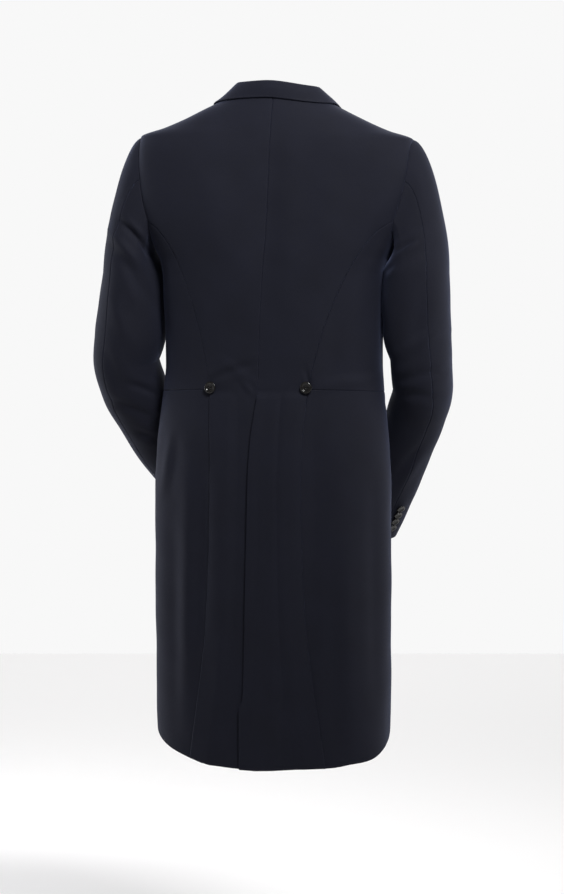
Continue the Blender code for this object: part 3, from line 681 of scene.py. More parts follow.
@dataclass(frozen=True)
class Drape:
    """All that the worn cloth does away from its plain form."""

    behind: FoldField = FoldField(
        right=(-0.974, -0.225, 0.0),
        facing=(-0.225, 0.974, 0.0),
        folds=read_folds(FOLDS_BEHIND),
    )
    ahead: FoldField = FoldField(
        right=(1.0, 0.0, 0.0),
        facing=(0.0, -1.0, 0.0),
        folds=read_folds(FOLDS_AHEAD),
    )
    ripple: float = 0.8

    def height(self, points: np.ndarray, normals: np.ndarray) -> np.ndarray:
        """Folds of both views and the slow unevenness of pressed wool.

        Args:
            points: Points from the nape, in millimetres.
            normals: Outward directions there.

        Returns:
            The lift in millimetres.
        """
        x, y, z = points[..., 0], points[..., 1], points[..., 2]
        slow = np.sin(0.031 * x + 0.017 * z + 0.7) * np.sin(0.021 * z - 0.013 * x + 0.026 * y)
        finer = np.sin(0.067 * x - 0.043 * z + 1.9) * np.sin(0.038 * z + 0.058 * y + 0.4)
        plain = self.ripple * (slow + 0.45 * finer)
        return plain + self.behind.height(points, normals) + self.ahead.height(points, normals)


DRAPE = Drape()


def srgb(code: str) -> tuple[float, float, float, float]:
    """A hex colour turned to linear light.

    Args:
        code: The colour as # and six digits.

    Returns:
        Red, green and blue from 0 to 1, and full opacity.
    """
    values = [int(code[index : index + 2], 16) / 255 for index in (1, 3, 5)]
    linear = [v / 12.92 if v <= 0.04045 else ((v + 0.055) / 1.055) ** 2.4 for v in values]
    return (*linear, 1.0)


def feed(tree: NodeTree, node: Node, inputs: dict) -> None:
    """Sets or links a node's inputs.

    Args:
        tree: The node tree.
        node: The node.
        inputs: For each input name or number, a value or the output that feeds it.
    """
    for name, value in inputs.items():
        if isinstance(value, NodeSocket):
            tree.links.new(value, node.inputs[name])
        else:
            node.inputs[name].default_value = value


def add_node(tree: NodeTree, kind: str, settings: dict | None = None, inputs: dict | None = None) -> Node:
    """Adds a node with its settings, values and links.

    Args:
        tree: The node tree.
        kind: The node's type name.
        settings: Attributes of the node.
        inputs: For each input name or number, a value or the output that feeds it.

    Returns:
        The new node.
    """
    node = tree.nodes.new(kind)
    for name, value in (settings or {}).items():
        setattr(node, name, value)
    feed(tree, node, inputs or {})
    return node


def new_material(name: str) -> tuple[Material, NodeTree, Node]:
    """An empty node material with its shader wired to the output.

    Args:
        name: What the material really is.

    Returns:
        The material, its node tree and its shader.
    """
    material = bpy.data.materials.new(name)
    material.use_nodes = True
    tree = material.node_tree
    shader = tree.nodes["Principled BSDF"]
    return material, tree, shader


def mapped(tree: NodeTree, value: NodeSocket, source: Pair, target: Pair) -> NodeSocket:
    """Maps a value from one range to another, cut off at both ends.

    Args:
        tree: The node tree.
        value: The output that gives the value.
        source: The range that it is read in.
        target: The range that it is mapped to.

    Returns:
        The mapped value.
    """
    ends = {"Value": value, 1: source[0], 2: source[1], 3: target[0], 4: target[1]}
    return add_node(tree, "ShaderNodeMapRange", {}, ends).outputs["Result"]


def blend(tree: NodeTree, share: NodeSocket, first: str, second: str) -> NodeSocket:
    """Mixes two hex colours.

    Args:
        tree: The node tree.
        share: The output that gives the second colour's share.
        first: The colour at 0.
        second: The colour at 1.

    Returns:
        The mixed colour.
    """
    inputs = {"Factor": share, 6: srgb(first), 7: srgb(second)}
    return add_node(tree, "ShaderNodeMix", {"data_type": "RGBA"}, inputs).outputs[2]


def streaked(tree: NodeTree, place: NodeSocket, shape: Triple, size_mm: float, inputs: dict) -> NodeSocket:
    """Noise that is drawn out along one axis.

    Args:
        tree: The node tree.
        place: The output that gives the coordinates.
        shape: Scale along each axis.
        size_mm: Size of the noise along an axis of scale 1.
        inputs: Other values of the noise.

    Returns:
        The noise.
    """
    drawn = add_node(tree, "ShaderNodeMapping", {}, {"Vector": place, "Scale": shape}).outputs["Vector"]
    values = {"Vector": drawn, "Scale": 1 / (size_mm * MM), **inputs}
    return add_node(tree, "ShaderNodeTexNoise", {}, values).outputs["Fac"]


def relief(tree: NodeTree, height: NodeSocket, strength: float, depth_mm: float) -> NodeSocket:
    """A bump.

    Args:
        tree: The node tree.
        height: The output that gives the height.
        strength: How strongly the bump shows.
        depth_mm: Height of a full step.

    Returns:
        The bumped normal.
    """
    inputs = {"Strength": strength, "Distance": depth_mm * MM, "Height": height}
    return add_node(tree, "ShaderNodeBump", {}, inputs).outputs["Normal"]


@dataclass(frozen=True)
class Worsted:
    """Fine wool twill, woven from smooth combed yarn: matt black with a blue cast, pale at grazing angles."""

    name: str = "worsted_wool_twill"
    face: str = "#101220"
    # the darker colour of the weave: painted shade in the twill's valleys, and darker yarn where the slubs
    # are
    shadow: str = "#0b0c15"
    roughness: float = 0.85
    sheen: float = 0.19
    sheen_roughness: float = 0.42
    sheen_tint: str = "#838fbc"
    specular: float = 0.22
    yarn_shape: Triple = (1.0, 0.22, 1.0)
    patches: float = 14.0
    # the real twill line is 0.6 mm apart; 1.8 mm is the finest that still shows in the render
    twill_mm: float = 1.8
    thread_mm: float = 0.9

    def build(self) -> Material:
        """Makes the material, which follows the piece's own UV map, in metres of cloth.

        Returns:
            The material.
        """
        material, tree, shader = new_material(self.name)
        uv = add_node(tree, "ShaderNodeUVMap", {"uv_map": "cloth"}).outputs["UV"]
        twill = add_node(
            tree, "ShaderNodeTexWave",
            {"wave_type": "BANDS", "bands_direction": "DIAGONAL", "wave_profile": "SIN"},
            {"Vector": uv, "Scale": WAVE_SCALE / (self.twill_mm * MM), "Distortion": 0.6,
             "Detail": 1.0, "Detail Scale": 2.0},
        ).outputs["Fac"]
        slub = streaked(tree, uv, self.yarn_shape, self.thread_mm, {"Detail": 2.0, "Roughness": 0.6})
        cloud = add_node(
            tree, "ShaderNodeTexNoise", {},
            {"Vector": uv, "Scale": self.patches, "Detail": 3.0, "Roughness": 0.55},
        ).outputs["Fac"]
        weave = add_node(
            tree, "ShaderNodeMath", {"operation": "MULTIPLY_ADD"}, {0: slub, 1: 0.6, 2: twill}
        ).outputs["Value"]
        # the weave mixes in the darker colour: painted shade in the twill's valleys, and darker yarn in the
        # slubs
        mixed = blend(tree, mapped(tree, weave, (0.2, 1.4), (0.0, 1.0)), self.shadow, self.face)
        patchy = mapped(tree, cloud, (0.3, 0.7), (0.9, 1.1))
        toned = add_node(
            tree, "ShaderNodeHueSaturation", {}, {"Color": mixed, "Value": patchy}
        ).outputs["Color"]
        rough = mapped(tree, slub, (0.3, 0.7), (self.roughness - 0.06, self.roughness + 0.06))
        feed(tree, shader, {
            "Base Color": toned, "Roughness": rough, "Normal": relief(tree, weave, 0.35, 0.25),
            "Sheen Weight": self.sheen, "Sheen Roughness": self.sheen_roughness,
            "Sheen Tint": srgb(self.sheen_tint), "Specular IOR Level": self.specular,
        })
        return material


@dataclass(frozen=True)
class Satin:
    """Viscose lining satin, woven with long floats: smooth black with a soft streaked shine."""

    name: str = "viscose_satin_lining"
    face: str = "#111217"
    shadow: str = "#0c0d11"
    roughness: float = 0.42
    sheen: float = 0.08
    float_shape: Triple = (1.0, 0.06, 1.0)
    thread_mm: float = 1.0

    def build(self) -> Material:
        """Makes the material, which follows the piece's own UV map, in metres of cloth.

        Returns:
            The material.
        """
        material, tree, shader = new_material(self.name)
        uv = add_node(tree, "ShaderNodeUVMap", {"uv_map": "cloth"}).outputs["UV"]
        floats = streaked(tree, uv, self.float_shape, self.thread_mm, {"Detail": 2.0})
        feed(tree, shader, {
            "Base Color": blend(tree, floats, self.shadow, self.face), "Roughness": self.roughness,
            "Normal": relief(tree, floats, 0.2, 0.1), "Sheen Weight": self.sheen,
        })
        return material


@dataclass(frozen=True)
class Horn:
    """Polished buffalo horn, turned on a lathe: near black, faint brown streaks under a hard gloss."""

    name: str = "polished_black_horn"
    dark: str = "#090909"
    streak: str = "#17120f"
    gloss: Pair = (0.16, 0.3)
    specular: float = 0.38
    ior: float = 1.54
    streak_shape: Triple = (0.25, 1.0, 1.0)
    streak_mm: float = 1.6

    def build(self) -> Material:
        """Makes the material; its streaks lie across the button in object space.

        Returns:
            The material.
        """
        material, tree, shader = new_material(self.name)
        place = add_node(tree, "ShaderNodeTexCoord").outputs["Object"]
        streaks = streaked(
            tree, place, self.streak_shape, self.streak_mm, {"Detail": 4.0, "Roughness": 0.6}
        )
        amount = mapped(tree, streaks, (0.45, 0.75), (0.0, 1.0))
        rough = mapped(tree, streaks, (0.3, 0.7), self.gloss)
        feed(tree, shader, {
            "Base Color": blend(tree, amount, self.dark, self.streak), "Roughness": rough,
            "Specular IOR Level": self.specular, "IOR": self.ior,
        })
        return material


@dataclass(frozen=True)
class SilkThread:
    """Twisted silk sewing thread: black, rounder and brighter than the wool that it is sewn in."""

    name: str = "black_silk_thread"
    face: str = "#17171c"
    roughness: float = 0.45
    sheen: float = 0.2
    ply_mm: float = 0.5

    def build(self) -> Material:
        """Makes the material, with the twist of the plies in its relief.

        Returns:
            The material.
        """
        material, tree, shader = new_material(self.name)
        place = add_node(tree, "ShaderNodeTexCoord").outputs["Object"]
        ply = add_node(
            tree, "ShaderNodeTexWave", {"bands_direction": "DIAGONAL"},
            {"Vector": place, "Scale": WAVE_SCALE / (self.ply_mm * MM), "Distortion": 0.4},
        ).outputs["Fac"]
        feed(tree, shader, {
            "Base Color": srgb(self.face), "Roughness": self.roughness,
            "Normal": relief(tree, ply, 0.4, 0.1), "Sheen Weight": self.sheen,
        })
        return material


@dataclass(frozen=True)
class StudioPaint:
    """Matt wall paint, rolled on: an even pale grey."""

    name: str = "matt_studio_paint"
    face: str = "#f7f6f6"
    roughness: float = 0.75
    grain: float = 180.0

    def build(self) -> Material:
        """Makes the material with a faint roller grain.

        Returns:
            The material.
        """
        material, tree, shader = new_material(self.name)
        place = add_node(tree, "ShaderNodeTexCoord").outputs["Object"]
        grain = add_node(
            tree, "ShaderNodeTexNoise", {}, {"Vector": place, "Scale": self.grain, "Detail": 2.0}
        ).outputs["Fac"]
        feed(tree, shader, {
            "Base Color": srgb(self.face), "Roughness": self.roughness,
            "Normal": relief(tree, grain, 0.05, 0.2),
        })
        return material


def linked(name: str, data: ID) -> Object:
    """A new object with its data, linked to the scene."""
    obj = bpy.data.objects.new(name, data)
    bpy.context.scene.collection.objects.link(obj)
    return obj


def mesh_object(
    name: str, points: np.ndarray, faces: np.ndarray, materials: list[Material]
) -> Object:
    """An object at the origin from points in millimetres and four-sided faces.

    Args:
        name: Name of the object and its mesh.
        points: One row for each vertex.
        faces: Four vertex numbers for each face.
        materials: The mesh's material slots.

    Returns:
        The object, smooth shaded and linked to the scene.
    """
    mesh = bpy.data.meshes.new(name)
    mesh.vertices.add(len(points))
    mesh.vertices.foreach_set("co", (points * MM).astype(np.float32).ravel())
    mesh.loops.add(faces.size)
    mesh.loops.foreach_set("vertex_index", faces.astype(np.int32).ravel())
    mesh.polygons.add(len(faces))
    mesh.polygons.foreach_set("loop_start", np.arange(0, faces.size, 4, dtype=np.int32))
    mesh.update(calc_edges=True)
    for material in materials:
        mesh.materials.append(material)
    mesh.shade_smooth()
    return linked(name, mesh)


def lines_beside(grid: np.ndarray) -> np.ndarray:
    """Adds two lines beside each end of the first axis, which carry the rounding of the edges.

    Args:
        grid: Rows of points, with whatever else goes with each point after its place.

    Returns:
        The grid with four rows more.
    """

    def between(start: np.ndarray, after: np.ndarray, reach: float, most: float) -> np.ndarray:
        """A line at a distance from start towards after, but no further than a share of the way."""
        step = np.linalg.norm((after - start)[..., :3], axis=-1, keepdims=True)
        return start + (after - start) * np.minimum(reach / np.maximum(step, 1e-6), most)

    places = ((0.8, 0.3), (2.0, 0.65))
    first = [between(grid[0], grid[1], reach, most)[None] for reach, most in places]
    last = [between(grid[-1], grid[-2], reach, most)[None] for reach, most in places[::-1]]
    return np.concatenate([grid[:1], *first, grid[1:-1], *last, grid[-1:]])


@dataclass
class ClothSheet:
    """One cut piece of cloth as a closed thin shell, from a grid of points on its outer face."""

    name: str
    points: np.ndarray
    normals: np.ndarray
    cut: Triple
    held: str
    rests_on: tuple[str, ...]
    # the finish of each rim, or two finishes and the row where the second takes over
    edges: dict[Rim, Edge | tuple[Edge, Edge, int]] = field(default_factory=dict)
    lined: np.ndarray | None = None
    grain: np.ndarray | None = None

    def flat_map(self) -> np.ndarray:
        """The map that the weave follows.

        Returns:
            Metres along the rows and down the columns.
        """
        if self.grain is not None:
            return self.grain
        across = np.linalg.norm(np.diff(self.points, axis=1), axis=2).cumsum(axis=1)
        across = np.concatenate([np.zeros((len(across), 1)), across], axis=1)
        middle = self.points.shape[1] // 2
        across -= across[:, middle : middle + 1]
        down = path_length(self.points[:, middle])
        down = np.broadcast_to(down[:, None], across.shape)
        return np.stack([across, -down], axis=-1) * MM

    def build(self, cloth: Material, lining: Material) -> Object:
        """Makes the shell with rounded or sunk edges.

        Args:
            cloth: Material of the outer face and the edges.
            lining: Material of the inner face where the piece is lined.

        Returns:
            The object, at the origin.
        """
        grid = np.concatenate([self.points, self.normals, self.flat_map()], axis=-1)
        grid = lines_beside(grid)
        grid = lines_beside(grid.swapaxes(0, 1)).swapaxes(0, 1)
        rows, columns = grid.shape[:2]
        points, normals, flat = grid[..., :3], unit(grid[..., 3:6]), grid[..., 6:]
        draw_in = np.zeros((2, rows, columns))
        for where, edge in self.edges.items():
            if isinstance(edge, Edge):
                edge = (edge, edge, 0)
            first, second = np.array(edge[0].value), np.array(edge[1].value)
            count = columns if where in (Rim.TOP, Rim.BOTTOM) else rows
            after = fade(np.arange(count), edge[2] - 1, edge[2] + 5)
            for step in range(3):
                index = {
                    Rim.TOP: (slice(None), step),
                    Rim.BOTTOM: (slice(None), rows - 1 - step),
                    Rim.NEAR: (slice(None), slice(None), step),
                    Rim.FAR: (slice(None), slice(None), columns - 1 - step),
                }[where]
                line = draw_in[index]
                sunk = first[:, step, None] * (1 - after) + second[:, step, None] * after
                draw_in[index] = np.where(np.abs(sunk) > np.abs(line), sunk, line)
        outer = points + normals * draw_in[0][..., None]
        inner = points + normals * (draw_in[1] - WALL)[..., None]
        number = np.arange(rows * columns).reshape(rows, columns)
        quads = np.stack(
            [number[:-1, :-1], number[1:, :-1], number[1:, 1:], number[:-1, 1:]], axis=-1
        ).reshape(-1, 4)
        border = np.concatenate([number[0, :-1], number[:-1, -1], number[-1, :0:-1], number[:0:-1, 0]])
        after = np.roll(border, -1)
        under = rows * columns
        rim = np.stack([border, after, after + under, border + under], axis=-1)
        faces = np.concatenate([quads, quads[:, [0, 3, 2, 1]] + under, rim])
        everything = np.concatenate([outer.reshape(-1, 3), inner.reshape(-1, 3)])
        middle = np.cross(
            everything[quads[:, 1]] - everything[quads[:, 0]],
            everything[quads[:, 2]] - everything[quads[:, 0]],
        )
        if np.sum(middle * normals.reshape(-1, 3)[quads[:, 0]]) < 0:
            faces = faces[:, ::-1]
        obj = mesh_object(self.name + "_cloth", everything, faces, [cloth, lining])
        if self.lined is not None:
            inside = self.lined_faces(rows, columns)
            index = np.zeros(len(faces), np.int32)
            index[len(quads) : 2 * len(quads)] = inside
            obj.data.polygons.foreach_set("material_index", index)
        layer = obj.data.uv_layers.new(name="cloth")
        both = np.concatenate([flat.reshape(-1, 2), flat.reshape(-1, 2)])
        layer.data.foreach_set("uv", both[faces.ravel()].astype(np.float32).ravel())
        self.declare(obj)
        return obj

    def lined_faces(self, rows: int, columns: int) -> np.ndarray:
        """Which inner faces show the lining.

        Args:
            rows: Rows of points of the finished shell.
            columns: Columns of points of the finished shell.

        Returns:
            For each inner face, 1 where it is lined and 0 where it is bare cloth.
        """
        spread = self.lined
        row = np.clip(np.arange(rows - 1) - 2, 0, spread.shape[0] - 1)
        column = np.clip(np.arange(columns - 1) - 2, 0, spread.shape[1] - 1)
        return spread[np.ix_(row, column)].astype(np.int32).ravel()

    def declare(self, obj: Object) -> None:
        """Hangs the shell under the root, hides the solid of the same name that it stands for, and logs its
        triangles.

        Args:
            obj: The finished shell.
        """
        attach(obj, "root")
        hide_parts(self.name)
        count = sum(len(face.vertices) - 2 for face in obj.data.polygons)
        LOG.info("%s: %d triangles", obj.name, count)


@dataclass(frozen=True)
class Laps:
    """How far lapped pieces stand off the form; each pair is where a rise starts and where it ends."""

    # the tail over the skirt, by distance beyond the pleat line
    pleat_rise: Pair = (-52, -29)
    pleat_press: Pair = (-14, 0)
    pressed: float = 0.34
    # the right tail over the left one, by distance from the centre back and past the vent's edge
    over_left: Pair = (50, 30)
    vent_rise: Pair = (22, 0)
    vent_extra: float = 0.5
    # the groove in the left tail along the right one's edge
    groove: float = 1.4
    groove_width: float = 9
    # heights between which the left front also clears the right lapel
    lapel_top: Pair = (-325, -392)
    lapel_foot: Pair = (-486, -424)
    # the left front over the right one, by distance from the centre front
    front_lap: Pair = (66, 26)

    def tail(self, side: Side, distance: np.ndarray, height: np.ndarray) -> np.ndarray:
        """Lift of the tails over the skirts at the side pleat, and of the right tail over the left one.

        Args:
            side: The side that the tail is on.
            distance: Distance of each point from the centre back.
            height: Its height above the nape.

        Returns:
            How far each point stands off the form.
        """
        below = fade(height, WAIST - 1, WAIST - 17)
        level = np.clip(height, HEM, WAIST)
        pleat = PATTERN.table_at(PATTERN.pleat, level)
        lap = PATTERN.table_at(PATTERN.vent_over, level)
        over = fade(distance - pleat, *self.pleat_rise)
        if side is Side.LEFT:
            beside = (distance - lap) / self.groove_width
            return below * (LAP_LIFT * over - self.groove * np.exp(-(beside**2)))
        pressed = 1 - self.pressed * fade(distance - pleat, *self.pleat_press)
        over = np.maximum(over * pressed, fade(distance, *self.over_left))
        return LAP_LIFT * below * over * (1 + self.vent_extra * fade(distance + lap, *self.vent_rise))

    def front(self, side: Side, angle: np.ndarray, height: np.ndarray) -> np.ndarray:
        """Lift of the left front over the right one at the button.

        Args:
            side: The side that the piece is on.
            angle: Radians of each point from the centre back.
            height: Its height above the nape.

        Returns:
            How far each point stands off the form.
        """
        if side is Side.RIGHT:
            return np.zeros_like(angle)
        over_lapel = LAPEL_LIFT * fade(height, *self.lapel_top) * fade(height, *self.lapel_foot)
        near = fade(FORM.distance_of(angle, height, front=True), *self.front_lap) * (angle > np.pi / 2)
        return (LAP_LIFT + over_lapel) * near


LAPS = Laps()


def all_cells(grid: np.ndarray) -> np.ndarray:
    """True for each cell of a grid of points."""
    return np.ones((grid.shape[0] - 1, grid.shape[1] - 1), bool)


def draped(points: np.ndarray, normals: np.ndarray) -> np.ndarray:
    """The points moved to where the folds of the worn cloth hold them."""
    return points + normals * DRAPE.height(points, normals)[..., None]


@dataclass
class BodyPiece:
    """A side's body piece: its pattern grid, its cut and the finish of its edges."""

    side: Side
    held: str = "draped"

    def sheet(
        self, name: str, grid: np.ndarray, lift: np.ndarray, cut: Triple,
        rests_on: tuple[str, ...], edges: dict[Rim, Edge], lined: np.ndarray | None,
    ) -> ClothSheet:
        """Lays a pattern grid on the form with its folds.

        Args:
            name: Name of the node that the piece stands for, without its side.
            grid: Angles and heights of the pattern.
            lift: How far the cloth stands off the form.
            cut: Width, length and area of the cut piece, in metres.
            rests_on: Nodes that carry the piece.
            edges: Finish of each edge.
            lined: Which of its cells are lined on the inside.

        Returns:
            The sheet, ready to build.
        """
        points, normals = FORM.on_form(grid[..., 0] * self.side.value, grid[..., 1], lift)
        return ClothSheet(
            name=f"{name}_{self.side.label}", points=draped(points, normals), normals=normals, cut=cut,
            held=self.held, rests_on=rests_on, edges=edges, lined=lined,
            grain=FORM.grain(grid[..., 0] * self.side.value, grid[..., 1]),
        )


@dataclass
class Back(BodyPiece):
    """A back, cut in one length from the shoulder to the hem of its tail."""

    cut: Triple = (0.28, 1.16, 0.158)
    armhole_foot: float = -185.0
    # angle of the point that keeps the hem round
    hem_angle: float = 0.12

    def piece(self) -> ClothSheet:
        """The back with its centre seam, its vent edge and its pleat edge.

        Returns:
            The sheet, ready to build.
        """
        heights = PATTERN.tail_rows()
        vent = PATTERN.vent_over if self.side is Side.RIGHT else PATTERN.vent_under
        lap = PATTERN.table_at(vent, heights)
        upper = np.concatenate([
            np.linspace(0, self.armhole_foot, PATTERN.armhole_back_cells + 1),
            np.linspace(self.armhole_foot, WAIST, PATTERN.body_cells + 1)[1:],
        ])
        vent_edge = np.stack([FORM.angle_at(-lap, heights), heights], axis=-1)
        centre = joined(np.stack([np.zeros_like(upper), upper], axis=-1), vent_edge)
        pleat = PATTERN.table_at(PATTERN.pleat, heights)
        tail_edge = np.stack([FORM.angle_at(pleat, heights), heights], axis=-1)
        tail_edge[0] = LINES["side_back"][-1]
        far = joined(LINES["armhole_back"], LINES["side_back"], tail_edge)
        hem_cells = PATTERN.neck_cells + PATTERN.shoulder_cells
        hem = PATTERN.resample([centre[-1], (self.hem_angle, HEM), far[-1]], hem_cells)
        grid = fill_flat(joined(LINES["neckline"], LINES["shoulder"]), hem, centre, far)
        grid = PATTERN.raised(grid, self.side, tail=True)
        lift = LAPS.tail(self.side, FORM.distance_of(grid[..., 0], grid[..., 1]), grid[..., 1])
        rests = (f"skirt_{self.side.label}", f"front_{self.side.label}", "collar")
        waist_row = len(upper) + 1
        edges = {
            Rim.TOP: Edge.SEAM, Rim.NEAR: (Edge.SEAM, Edge.TURNED, waist_row),
            Rim.FAR: (Edge.SEAM, Edge.PRESSED, waist_row), Rim.BOTTOM: Edge.TURNED,
        }
        return self.sheet("back", grid, lift, self.cut, rests, edges, all_cells(grid))


@dataclass
class SideBody(BodyPiece):
    """The narrow piece under the arm, between the back and the front."""

    cut: Triple = (0.19, 0.31, 0.042)

    def piece(self) -> ClothSheet:
        """The side body, from the armhole to the waist seam.

        Returns:
            The sheet, ready to build.
        """
        grid = fill(LINES["armhole_side"], LINES["waist_side"], LINES["side_back"], LINES["side_front"])
        rests = (f"back_{self.side.label}", f"front_{self.side.label}")
        edges = dict.fromkeys(Rim, Edge.SEAM)
        flat = np.zeros(grid.shape[:2])
        return self.sheet("side_body", grid, flat, self.cut, rests, edges, all_cells(grid))


@dataclass
class Front(BodyPiece):
    """A forepart, from the shoulder to the waist seam, with its edge folded back along the roll line."""

    cut: Triple = (0.215, 0.57, 0.090)
    # the part of the width that the facing takes, as 1 / value
    facing: int = 3

    def piece(self) -> ClothSheet:
        """The front; near its edge the cloth's own facing shows inside.

        Returns:
            The sheet, ready to build.
        """
        near = joined(LINES["roll"], LINES["front_edge"])
        far = joined(LINES["armhole_front"][::-1], LINES["side_front"])
        grid = fill_flat(LINES["shoulder"], LINES["waist_front"][::-1], near, far, front=True)
        lift = LAPS.front(self.side, grid[..., 0], grid[..., 1])
        rests = (f"back_{self.side.label}", f"side_body_{self.side.label}", "collar")
        edges = {Rim.TOP: Edge.SEAM, Rim.NEAR: Edge.TURNED, Rim.FAR: Edge.SEAM, Rim.BOTTOM: Edge.SEAM}
        lined = all_cells(grid)
        lined[:, : grid.shape[1] // self.facing] = False
        return self.sheet("front", grid, lift, self.cut, rests, edges, lined)


@dataclass
class Skirt(BodyPiece):
    """A skirt, sewn on along the waist seam, cut away ahead and tucked under its tail at the pleat."""

    held: str = "hung"
    cut: Triple = (0.40, 0.645, 0.184)
    # how much shorter than the tail it is, and the part of the width that the facing takes, as 1 / value
    shorter: float = 1.0
    facing: int = 8

    def piece(self) -> ClothSheet:
        """The skirt with its rounded cutaway edge and its hem.

        Returns:
            The sheet, ready to build.
        """
        heights = PATTERN.tail_rows()
        heights[-1] += self.shorter
        tuck = PATTERN.table_at(PATTERN.pleat_tuck, heights)
        pleat = PATTERN.table_at(PATTERN.pleat, heights) - tuck
        near = np.stack([FORM.angle_at(pleat, heights), heights], axis=-1)
        near[0] = LINES["side_back"][-1]
        which = 1 if self.side is Side.LEFT else 2
        far = PATTERN.by_angle(tuple((row[0], row[which]) for row in PATTERN.skirt_edge), len(heights) - 1)
        far[0] = LINES["waist_front"][-1]
        top = joined(LINES["waist_side"], LINES["waist_front"])
        hem_rows = [tuple(near[-1])]
        hem_rows += [(np.radians(row[0]), row[which]) for row in PATTERN.skirt_hem[:0:-1]]
        hem_rows.append(tuple(far[-1]))
        hem = PATTERN.resample(hem_rows, len(top) - 1)
        grid = PATTERN.raised(fill(top, hem, near, far), self.side)
        lift = LAPS.front(self.side, grid[..., 0], grid[..., 1])
        rests = (f"side_body_{self.side.label}", f"front_{self.side.label}")
        edges = {Rim.TOP: Edge.SEAM, Rim.NEAR: Edge.TURNED, Rim.FAR: Edge.TURNED, Rim.BOTTOM: Edge.TURNED}
        lined = all_cells(grid)
        lined[:, -(grid.shape[1] // self.facing) :] = False
        return self.sheet("skirt", grid, lift, self.cut, rests, edges, lined)


@dataclass
class Lapel(BodyPiece):
    """The turned-back lapel: it rolls round the front's edge and rests on the front, its peak up."""

    cut: Triple = (0.095, 0.40, 0.022)
    cells: int = 30
    # the roll round the front's edge: its turns in degrees, how far it stands off beside and above
    # the edge, how far its middle is sunk, and the columns of the flat part that it takes the place of
    roll_turns: tuple[float, ...] = (-55.0, -35.0, -12.0, 12.0, 38.0, 64.0)
    roll_reach: float = 0.75
    roll_rise: float = 0.45
    roll_sink: float = 0.1
    roll_columns: int = 2

    def piece(self) -> ClothSheet:
        """The lapel with its soft roll and its peak.

        Returns:
            The sheet, ready to build.
        """
        side = self.side.value
        near = PATTERN.by_distance(((-78, 67),) + PATTERN.roll[3:], PATTERN.lapel_cells, front=True)
        far = PATTERN.by_distance(PATTERN.lapel_edge, PATTERN.lapel_cells, front=True)
        top = PATTERN.by_distance(PATTERN.lapel_top, self.cells, front=True)
        bottom = PATTERN.resample([near[-1], far[-1]], self.cells)
        grid = fill_flat(top, bottom, near, far, front=True)
        lift = np.full(grid.shape[:2], LAPEL_LIFT)
        if self.side is Side.LEFT:
            lift += LAPS.front(self.side, grid[..., 0], grid[..., 1])
        points, normals = FORM.on_form(grid[..., 0] * side, grid[..., 1], lift)
        points = draped(points, normals)
        beyond = unit(points[:, 0] - points[:, 3])
        base = points[:, 0] - normals[:, 0] * LAPEL_LIFT
        turn = np.radians(np.array(self.roll_turns))
        middle = base + normals[:, 0] * (LAPEL_LIFT / 2 - self.roll_sink)
        reach, rise = WALL + self.roll_reach, LAPEL_LIFT / 2 + self.roll_rise
        rolled = [middle + beyond * reach * np.cos(a) + normals[:, 0] * rise * np.sin(a) for a in turn]
        faced = [unit(beyond * np.cos(a) + normals[:, 0] * np.sin(a)) for a in turn]
        points = np.concatenate([np.stack(rolled, axis=1), points[:, self.roll_columns :]], axis=1)
        normals = np.concatenate([np.stack(faced, axis=1), normals[:, self.roll_columns :]], axis=1)
        return ClothSheet(
            name=f"lapel_{self.side.label}", points=points, normals=normals, cut=self.cut, held="folded",
            rests_on=(f"front_{self.side.label}", "collar"), edges=FREE_EDGES,
        )


